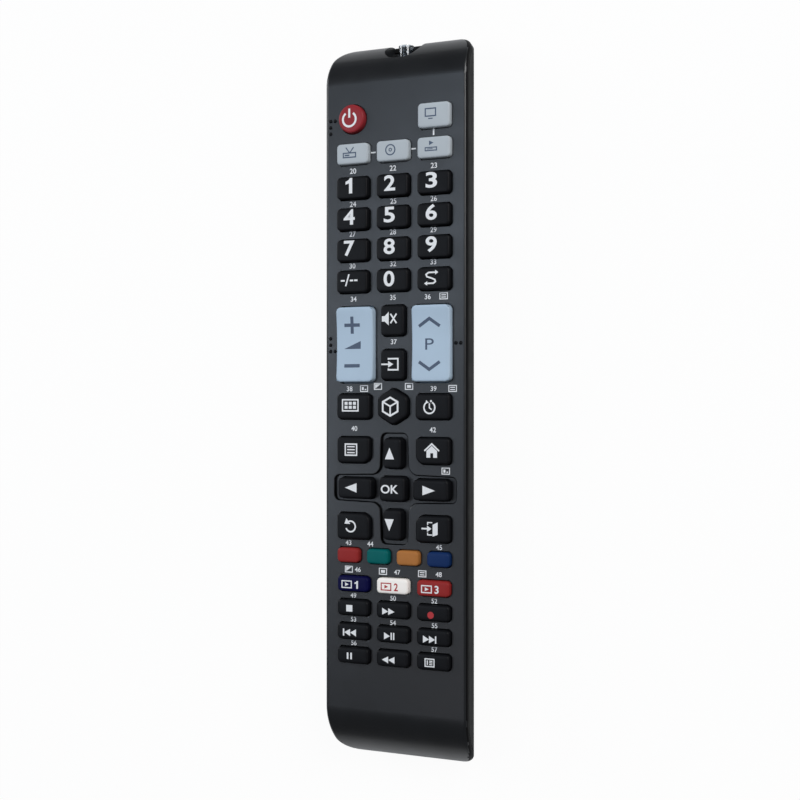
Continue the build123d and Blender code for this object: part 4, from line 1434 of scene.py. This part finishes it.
    def in_recess(self, spot: Vector) -> bool:
        """Tell whether a place lies in the plan of the recess round the direction keys."""
        x, y = abs(spot.x / MM), abs(spot.y / MM - self.pad_row)
        (wide, long), (arm_x, arm_y) = self.recess_half, self.recess_arms
        heart_x, heart_y = self.recess_heart
        return x < wide and y < long and (x < arm_x or y < arm_y or (x < heart_x and y < heart_y))

    def round_openings(self, shell: Piece) -> None:
        """Round the corners of the key openings and the upper edge of the recess."""
        wide, long, low = (limit * MM for limit in self.openings)
        with Bench.editing(shell, "EDGE"):
            found = Bench.choose(shell, "edges", lambda first, last: (
                upright(first, last) and min(first.z, last.z) > low
                and abs(first.x) < wide and abs(first.y) < long), turn=24)
            Bench.bevel(self.opening_corner, 3)
            LOG.info("%d corners of openings rounded", found)
            found = Bench.choose(shell, "edges", lambda first, last: (
                min(first.z, last.z) > (self.face - 0.1) * MM
                and self.in_recess((first + last) / 2)), turn=50)
            Bench.bevel(self.recess_lip, 3)
            LOG.info("%d edges of the recess rounded", found)

    def darken_seam(self, shell: Piece) -> int:
        """Paint shade on the strip by the seam and on the wall of the recess, as a darker, duller
        black where shade falls.

        Args:
            shell: the dressed face moulding.

        Returns:
            How many faces these have.
        """
        shell.data.materials.append(self.finishes["painted_shade_black"])
        count = 0
        (end_x, end_y), (low, high) = self.seam_end, self.recess_wall
        for side in shell.data.polygons:
            spot, normal = side.center / MM, side.normal
            outer = abs(spot.x) > self.seam_side or (abs(spot.y) > end_y and abs(spot.x) > end_x)
            wall = low < spot.z < high and abs(normal.z) < 0.93 and self.in_recess(side.center)
            if wall or outer and abs(normal.z) < self.seam_slant and normal.x * spot.x > 3:
                # painted shade on the seam strip and the recess wall
                side.material_index = 1
                count += 1
        return count

    def dots(self) -> Piece:
        """Model the small domes that a finger finds in the margins of the face, in one piece."""
        centre = Vector((0, 0, self.face)) * MM
        radius, tall, edge = self.dot_size
        dot = Bench.drum("dot", centre, radius * MM, tall * MM, 24)
        with Bench.editing(dot, "EDGE"):
            Bench.choose(dot, "edges", lambda first, last: min(first.z, last.z) > centre.z)
            Bench.bevel(edge, 5)
        high, low = ((corners[0].y + corners[1].y) / 2 / MM
                     for corners in (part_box("power_key"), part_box("volume_rocker")))
        pitch, outer, inner = self.dot_pitch, self.dot_outer, self.dot_inner
        places = [(-outer, start - pitch * step) for start in (high, low + pitch)
                  for step in range(3)]
        places += [(-inner, high), (-inner, low - pitch), (inner, low), (outer, low)]
        made = [Bench.copy(dot, f"dot_{index}", Vector((x, y, 0)) * MM)
                for index, (x, y) in enumerate(places)]
        bpy.data.objects.remove(dot)
        piece = Bench.join("tactile_dots", made)
        Bench.coat(piece, self.finishes["key_black"])
        Bench.smooth(piece, 40)
        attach(piece, "housing")
        LOG.info("%d tactile dots", len(places))
        return piece


@dataclass
class BatteryBay:
    """Two AAA cells, their springs and plates, and the screw that holds the shells."""

    finishes: Finishes
    cell_axis: float = 7.35
    cell_column: float = 5.45
    cell_radius: float = 5.25
    nub_length: float = 1.0
    cell_length: float = 44.5
    band_start: float = 2.2
    band_length: float = 13.0
    crimp: float = 0.22
    nub_end: tuple[Place, ...] = ((0.25, 0), (0.55, 0), (0.12, -0.22), (2.2, 0), (0.16, 0.22),
                                  (0.02, 0.8), (0.2, 0.16), (0.35, 0.03))
    flat_end: tuple[Place, ...] = ((0.25, 0), (0.5, 0), (0.15, -0.25), (2.6, 0), (0.2, 0.12))
    wire: float = 0.6
    spring_wide: float = 3.3
    spring_narrow: float = 2.0
    spring_turns: int = 3
    spring_sides: int = 28
    spring_lead: float = 0.8
    spring_rise: float = 6.4
    spring_bases: Place = (-53.9, -106.4)
    head_radius: float = 2.1
    head_tall: float = 1.4
    head_edge: float = 0.45
    cross: Spot = (1.3, 0.26, 0.85)
    cross_taper: float = 0.55
    shank_radius: float = 1.1
    thread_rings: int = 22
    thread_share: float = 0.78
    point_share: float = 0.4

    def build(self, nodes: dict[str, Piece]) -> None:
        """Make what the battery cover hides, over the frame's solids by name."""
        self.cells()
        self.springs()
        self.screw()
        for slot in nodes["contact_plates"].material_slots:
            slot.material = self.finishes["plated_steel"]
        LOG.info("node contact_plates in plated_steel")

    def cells(self) -> Piece:
        """Model both cells, nose to tail, in one piece."""
        low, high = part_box("aaa_cells")
        made = [self.cell(Vector((side * self.cell_column, tip, self.cell_axis)), side)
                for side, tip in ((-1, low.y / MM), (1, high.y / MM))]
        piece = Bench.join("aaa_cells_dressed", made)
        Bench.smooth(piece, 32)
        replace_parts(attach(piece, "housing"), "aaa_cells")
        LOG.info("cells, %d faces", len(piece.data.polygons))
        return piece

    def cell(self, tip: Vector, side: int) -> Piece:
        """Model one cell: sleeve, coloured band, crimped ends and contact nub.

        Args:
            tip: the end of its nub, in millimetres.
            side: -1 where its nub points to the tail, 1 where it points to the nose.

        Returns:
            The cell.
        """
        body = self.cell_length - self.nub_length
        start = tip.y - side * self.nub_length
        cell = Bench.drum("cell", Vector((tip.x, start - side * body / 2, tip.z)) * MM,
                          self.cell_radius * MM, body * MM, 56, lying=True)
        with Bench.editing(cell):
            Bench.choose(cell, "faces", facing((0, side, 0)))
            Bench.inset(*self.nub_end)
            Bench.choose(cell, "faces", facing((0, -side, 0)))
            Bench.inset(*self.flat_end)
            for place in (self.band_length, self.band_start):
                Bench.cut((0, (start - side * place) * MM, 0), (0, 1, 0), threshold=NEAR)
        with Bench.editing(cell, "EDGE"):
            rim = self.cell_radius * MM * 0.98
            axis = Vector((tip.x, tip.z)) * MM
            ends = (start * MM, (start - side * body) * MM)

            def on_rim(*points: Vector) -> bool:
                """Tell whether points are on the rim of an end."""
                return all((point.xz - axis).length > rim
                           and min(abs(point.y - end) for end in ends) < NEAR
                           for point in points)

            Bench.choose(cell, "edges", on_rim)
            Bench.bevel(self.crimp, 3)
        Bench.coat(cell, self.finishes["cell_sleeve"], self.finishes["cell_band"],
                   self.finishes["plated_steel"])
        for face in cell.data.polygons:
            spot = face.center / MM
            if math.hypot(spot.x - tip.x, spot.z - tip.z) < self.cell_radius - 0.5:
                face.material_index = 2
            elif self.band_start < (start - spot.y) * side < self.band_length:
                face.material_index = 1
        return cell

    def springs(self) -> Piece:
        """Wind both springs of round wire, in one piece."""
        made = []
        steps = self.spring_turns * self.spring_sides
        for side, base in zip((-1, 1), self.spring_bases):
            points = []
            for step in range(steps + 1):
                share = step / steps
                angle = math.tau * self.spring_turns * share
                radius = self.spring_wide + (self.spring_narrow - self.spring_wide) * share
                points.append((side * self.cell_column + radius * math.cos(angle),
                               base + side * (self.spring_lead + self.spring_rise * share),
                               self.cell_axis + radius * math.sin(angle)))
            made.append(Bench.curved("spring", [points], False, dimensions="3D",
                                     bevel_depth=self.wire / 2 * MM, bevel_resolution=3,
                                     use_fill_caps=True))
        piece = Bench.join("battery_springs_dressed", made)
        Bench.weld(piece, 1e-7, outward=True)
        Bench.coat(piece, self.finishes["plated_steel"])
        Bench.smooth(piece, 50)
        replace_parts(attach(piece, "housing"), "battery_springs")
        LOG.info("springs, %d faces", len(piece.data.polygons))
        return piece

    def screw(self) -> Piece:
        """Model the screw: a rounded head with a cross recess, and a threaded shank."""
        low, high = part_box("housing_screw")
        place = (low + high) / 2
        shank_low = low.z + self.head_tall * MM
        head = Bench.drum("screw_head", Vector((place.x, place.y, (low.z + shank_low) / 2)),
                          self.head_radius * MM, self.head_tall * MM, 48)
        with Bench.editing(head, "EDGE"):
            Bench.choose(head, "edges",
                         lambda first, last: max(first.z, last.z) < low.z + 0.1 * MM)
            Bench.bevel(self.head_edge, 5)
        long, narrow, deep = self.cross
        foot = Vector((place.x, place.y, low.z))
        for wide, tall in ((narrow, long), (long, narrow)):
            slot = Bench.block("slot", foot - Vector((wide, tall, 1)) * MM,
                               foot + Vector((wide, tall, deep)) * MM)
            with Bench.editing(slot):
                Bench.choose(slot, "faces", UP)
                Bench.scale((place.x, place.y, 0), self.cross_taper, self.cross_taper)
            Bench.carve(head, slot, "DIFFERENCE")
        shank = Bench.drum("screw_shank", Vector((place.x, place.y, (shank_low + high.z) / 2)),
                           self.shank_radius * MM, high.z - shank_low, 24)
        with Bench.editing(shank, "VERT"):
            for ring in range(1, self.thread_rings):
                level = shank_low + (high.z - shank_low) * ring / self.thread_rings
                Bench.cut((0, 0, level), (0, 0, 1), threshold=NEAR)
                if ring % 2:
                    Bench.choose(shank, "verts", lambda spot: abs(spot.z - level) < 2 * NEAR)
                    Bench.scale((place.x, place.y, level), self.thread_share,
                                self.thread_share)
            Bench.choose(shank, "verts", lambda spot: spot.z > high.z - 0.1 * MM)
            Bench.scale((place.x, place.y, high.z), self.point_share, self.point_share)
        piece = Bench.join("housing_screw_dressed", [head, shank])
        Bench.coat(piece, self.finishes["plated_steel"])
        Bench.smooth(piece, 30)
        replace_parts(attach(piece, "housing"), "housing_screw")
        LOG.info("screw, %d faces", len(piece.data.polygons))
        return piece


@dataclass
class Electronics:
    """The board, its components, the silicone mat and the infrared emitter."""

    finishes: Finishes
    underside: float = 14.2
    controller: tuple[Spot, Spot] = ((-3.75, 24.31, 11.9), (3.75, 37.11, 14.05))
    pins: int = 14
    pin_step: float = 0.9
    pin_across: float = -8.5
    capacitor: Spot = (-9.0, 68.16, 11.7)
    capacitor_leads: Place = (-10.2, -7.8)
    resistors: tuple[float, ...] = (-6.0, -2.0, 2.0, 6.0)
    transistor_spot: Spot = (9.0, 86.98, 9.65)
    transistor_radius: float = 2.25
    transistor_flat: float = 87.0
    lead: float = 0.5
    sunk: float = 0.7
    emitter_axis: float = 10.8
    emitter_length: float = 7.7
    barrel_radius: float = 2.5
    flange_radius: float = 2.88
    lead_places: Place = (-1.27, 1.27)

    def build(self, nodes: dict[str, Piece]) -> None:
        """Dress the board and the mat, and make what is soldered on, over the frame's solids."""
        for node, finish in (("circuit_board", "board_green"), ("keypad_mat", "mat_grey")):
            for slot in nodes[node].material_slots:
                slot.material = self.finishes[finish]
            LOG.info("node %s in %s", node, finish)
        self.components()
        self.emitter()

    def part(self, name: str, low: Spot, high: Spot, edge: float,
             finish: str = "plated_steel") -> Piece:
        """Model a small block with soft edges.

        Args:
            name: its name.
            low: its lowest corner, in millimetres.
            high: its highest corner, in millimetres.
            edge: how far its edges are rounded, in millimetres.
            finish: its finish.

        Returns:
            The block.
        """
        block = Bench.block(name, Vector(low) * MM, Vector(high) * MM)
        with Bench.editing(block, "EDGE"):
            bpy.ops.mesh.select_all(action="SELECT")
            Bench.bevel(edge, 2)
        Bench.coat(block, self.finishes[finish])
        return block

    def rod(self, name: str, start: Spot, length: float, radius: float, edge: float,
            finish: str = "plated_steel") -> Piece:
        """Model a round can that lies along the board, with soft rims.

        Args:
            name: its name.
            start: the middle of its lower end, in millimetres.
            length: its length, in millimetres.
            radius: its radius, in millimetres.
            edge: how far its rims are rounded, in millimetres.
            finish: its finish.

        Returns:
            The can.
        """
        can = Bench.drum(name, Vector((start[0], start[1] + length / 2, start[2])) * MM,
                         radius * MM, length * MM, 40, lying=True)
        with Bench.editing(can, "EDGE"):
            Bench.choose(can, "edges", lambda first, last: abs(first.y - last.y) < 1e-7)
            Bench.bevel(edge, 4)
        Bench.coat(can, self.finishes[finish])
        return can

    def components(self) -> Piece:
        """Make the controller, crystal, capacitor, transistor and resistors, in one piece."""
        top = self.underside
        controller = self.part("controller", *self.controller, 0.2, "component_black")
        with Bench.editing(controller):
            Bench.choose(controller, "faces", facing((0, 0, -1), 0.99))
            Bench.inset((0.3, -0.04))
        made = [controller]
        pin = Bench.join("pin", [self.part("pin", (3.6, 24.7, 13.0), (4.9, 25.1, 13.2), 0.04),
                                 self.part("foot", (4.7, 24.7, 13.0), (4.9, 25.1, top), 0.04)])
        for index in range(self.pins):
            for side, shift in (("right", 0), ("left", self.pin_across)):
                made.append(Bench.copy(pin, f"pin_{index}_{side}",
                                       Vector((shift, index * self.pin_step, 0)) * MM))
        bpy.data.objects.remove(pin)
        across, along, axis = self.capacitor
        made += [self.rod("capacitor", self.capacitor, 10.2, 2.48, 0.35, "capacitor_blue"),
                 self.rod("capacitor_cap", (across, along + 10.04, axis), 0.5, 2.2, 0.1)]
        for x in self.capacitor_leads:
            made += [self.part("lead", (x - 0.25, 78.3, 11.45), (x + 0.25, 79.1, 11.95), 0.1),
                     self.part("lead", (x - 0.25, 78.66, 11.45), (x + 0.25, 79.16, top), 0.1)]
        made += [self.crystal(top), self.transistor(top)]
        for x in self.resistors:
            made.append(self.part("resistor", (x - 0.78, 10.1, 13.62), (x + 0.78, 12.26, top),
                                  0.06, "component_black"))
            made += [self.part("cap", (x - 0.8, low, 13.6), (x + 0.8, low + 0.6, top), 0.08)
                     for low in (9.58, 12.18)]
        piece = Bench.join("board_components_dressed", made)
        Bench.smooth(piece, 35)
        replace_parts(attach(piece, "housing"), "board_components")
        LOG.info("components, %d faces", len(piece.data.polygons))
        return piece

    def crystal(self, top: float) -> Piece:
        """Model the crystal: a pressed can with rounded ends on a rolled foot.

        Args:
            top: the height of the board's underside, in millimetres.

        Returns:
            The crystal.
        """
        made = []
        for name, low, high, corner in (
                ("crystal", (4.2, 46.4, 10.75), (13.8, 50.16, top), 1.86),
                ("crystal_foot", (3.8, 46.0, top - 0.5), (14.2, 50.56, top), 2.2)):
            piece = Bench.block(name, Vector(low) * MM, Vector(high) * MM)
            with Bench.editing(piece, "EDGE"):
                Bench.choose(piece, "edges", upright)
                Bench.bevel(corner, 8)
                if name == "crystal":
                    bpy.ops.mesh.select_mode(type="FACE")
                    Bench.choose(piece, "faces", DOWN)
                    Bench.inset(*quarter_arc(0.4, 0.04, 4))
            Bench.coat(piece, self.finishes["plated_steel"])
            made.append(piece)
        return Bench.join("crystal", made)

    def transistor(self, top: float) -> Piece:
        """Model the transistor: a flat-faced barrel up to the board's underside."""
        across, along, low = self.transistor_spot
        body = Bench.drum("transistor", Vector((across, along, (low + top) / 2)) * MM,
                          self.transistor_radius * MM, (top - low) * MM, 40)
        with Bench.editing(body, "EDGE"):
            Bench.cut((0, self.transistor_flat * MM, 0), (0, -1, 0), clear_outer=True,
                      use_fill=True)
            Bench.choose(body, "edges",
                         lambda first, last: max(first.z, last.z) < (low + 0.05) * MM)
            Bench.bevel(0.15, 2)
        Bench.coat(body, self.finishes["component_black"])
        return body

    def emitter(self) -> Piece:
        """Model the emitter: a clear domed barrel round its cup and post, and two leads."""
        low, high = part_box("infrared_led")
        tip, axis = high.y / MM - self.sunk, self.emitter_axis
        back = high.y / MM - self.emitter_length
        radius = self.barrel_radius
        barrel = self.rod("barrel", (0, back - 0.4, axis), tip - back + 0.4, radius, 0.01,
                          "clear_resin")
        with Bench.editing(barrel):
            Bench.choose(barrel, "faces", facing((0, 1, 0), 0.99))
            bpy.ops.transform.translate(value=(0, -radius * MM, 0))
            Bench.inset(*quarter_arc(radius - 0.01, radius, 10, 0.98))
        flange = self.rod("flange", (0, back - 1.0, axis), 1.0, self.flange_radius, 0.12,
                          "clear_resin")
        cup = self.rod("cup", (0, back + 1.0, axis), 1.6, 0.95, 0.05)
        with Bench.editing(cup):
            Bench.choose(cup, "faces", facing((0, 1, 0), 0.99))
            Bench.inset((0.12, 0), (0.4, -0.7))
        made = [barrel, flange, cup,
                self.part("anvil", (-1.5, back - 0.2, axis - 0.25),
                          (-0.6, back + 2.0, axis + 0.25), 0.06),
                self.part("post", (1.05, back - 0.2, axis - 0.25),
                          (1.5, back + 3.0, axis + 0.25), 0.06)]
        half = self.lead / 2
        for x in self.lead_places:
            start = (x - half, low.y / MM, axis - half)
            made += [self.part("lead", start, (x + half, back - 0.9, axis + half), 0.06),
                     self.part("lead", start, (x + half, low.y / MM + self.lead, self.underside),
                               0.06)]
        piece = Bench.join("infrared_led_dressed", made)
        Bench.smooth(piece, 35)
        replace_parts(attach(piece, "housing"), "infrared_led")
        LOG.info("emitter, %d faces", len(piece.data.polygons))
        return piece


@dataclass
class Studio:
    """The floor, the lamps and the camera, in metres and degrees."""

    yaw: float = 25.0
    target: float = 0.020
    along: float = 0.0005
    distance: float = 0.4408
    aside: float = 0.00181
    lens: float = 62.55
    glow_share: float = 0.95
    gloss_share: float = 0.15
    air_strength: float = 0.12

    def build(self) -> None:
        """Set up the studio."""
        bpy.context.scene.view_settings.view_transform = "Standard"
        self.floor()
        self.air()
        self.lamps()
        self.camera()

    @staticmethod
    def seen(wiring: Wiring) -> tuple[Socket, bpy.types.Node]:
        """Find the rays that the camera sees straight or through resin, and all their kinds."""
        path = wiring.add("LightPath")
        return wiring.reckon("MAXIMUM", path.outputs["Is Camera Ray"],
                             path.outputs["Is Transmission Ray"]), path

    def floor(self) -> None:
        """Lay a white floor that keeps the object's soft shadow."""
        Bench.clear()
        bpy.ops.mesh.primitive_plane_add(size=6)
        floor = Bench.settled("studio_floor")
        graph = Graph("studio_white")
        graph.put(graph.shader, Roughness=0.9, Specular_IOR_Level=0.1)
        graph.tint(graph.grain(2), (0.86, 0.86, 0.86), (0.9, 0.9, 0.9))
        clear, path = self.seen(graph)
        glossy = graph.reckon("MULTIPLY", path.outputs["Is Glossy Ray"], self.gloss_share)
        share = graph.reckon("MULTIPLY", graph.reckon("MAXIMUM", clear, glossy),
                             self.glow_share)
        graph.mix(share, graph.shader, graph.add("Emission", Strength=1.0))
        Bench.coat(floor, graph.finish)

    def air(self) -> None:
        """Fill the room with a little light, and show it white behind the object."""
        world = bpy.data.worlds.new("studio_air")
        bpy.context.scene.world = world
        world.use_nodes = True
        wiring = Wiring(world.node_tree, "OutputWorld")
        wiring.mix(self.seen(wiring)[0], *(
            wiring.add("Background", Color=(1, 1, 1, 1), Strength=strength)
            for strength in (self.air_strength, 1.0)))

    def lamps(self) -> None:
        """Hang the soft lamps, each with its place, two sides, watts and colour."""
        self.lamp("sheen", (-0.34, 0.24, 1.088), (0.42, 0.32), 1.3, (0.82, 0.95, 1.12))
        self.lamp("veil", (-0.76, 0.0, 1.088), (0.42, 0.16), 1.6, (0.84, 0.95, 1.1))
        self.lamp("foot", (-0.34, -0.32, 1.088), (0.42, 0.16), 0.3, (0.97, 0.97, 1.05))
        self.lamp("right", (0.85, 0.6, 0.85), (0.7, 0.7), 12.0, (1, 1, 1))
        self.lamp("left", (-1.25, 0.5, 0.6), (0.5, 0.7), 7.0, (0.97, 0.99, 1.02))

    def lamp(self, name: str, place: Spot, size: Place, power: float, colour: Spot) -> None:
        """Hang one soft lamp, turned to the object.

        Args:
            name: the lamp's name.
            place: its middle, in metres.
            size: its two sides, in metres.
            power: its power, in watts.
            colour: the colour of its light.
        """
        light = bpy.data.lights.new(name, "AREA")
        light.shape = "RECTANGLE"
        light.size, light.size_y = size
        light.energy, light.color = power, colour
        lamp = Bench.linked(name, light)
        lamp.location = place
        aim = Vector((0, 0, self.target)) - Vector(place)
        lamp.rotation_euler = aim.to_track_quat("-Z", "Y").to_euler()

    def camera(self) -> None:
        """Stand the camera where the photograph was taken from."""
        lens = bpy.data.cameras.new("camera")
        lens.lens, lens.sensor_width = self.lens, 36.0
        camera = Bench.linked("camera", lens)
        angle = math.radians(self.yaw)
        outward = Vector((math.sin(angle), 0, math.cos(angle)))
        across = Vector((math.cos(angle), 0, -math.sin(angle)))
        camera.location = (Vector((0, self.along, self.target)) + outward * self.distance
                           + across * self.aside)
        camera.rotation_euler = (0, angle, 0)
        bpy.context.scene.camera = camera


def main() -> None:
    """Load the frame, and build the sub-assemblies in order."""
    logging.basicConfig(level=logging.INFO, format="%(name)s: %(message)s")
    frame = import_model()
    finishes = Finishes()
    Studio().build()
    housing = Housing(finishes)
    housing.build()
    housing.dots()
    BatteryBay(finishes).build(frame["nodes"])
    Electronics(finishes).build(frame["nodes"])
    Keypad(finishes).build()
    FacePrint(finishes).build()
    Bench.clear()


if __name__ == "__main__":
    main()
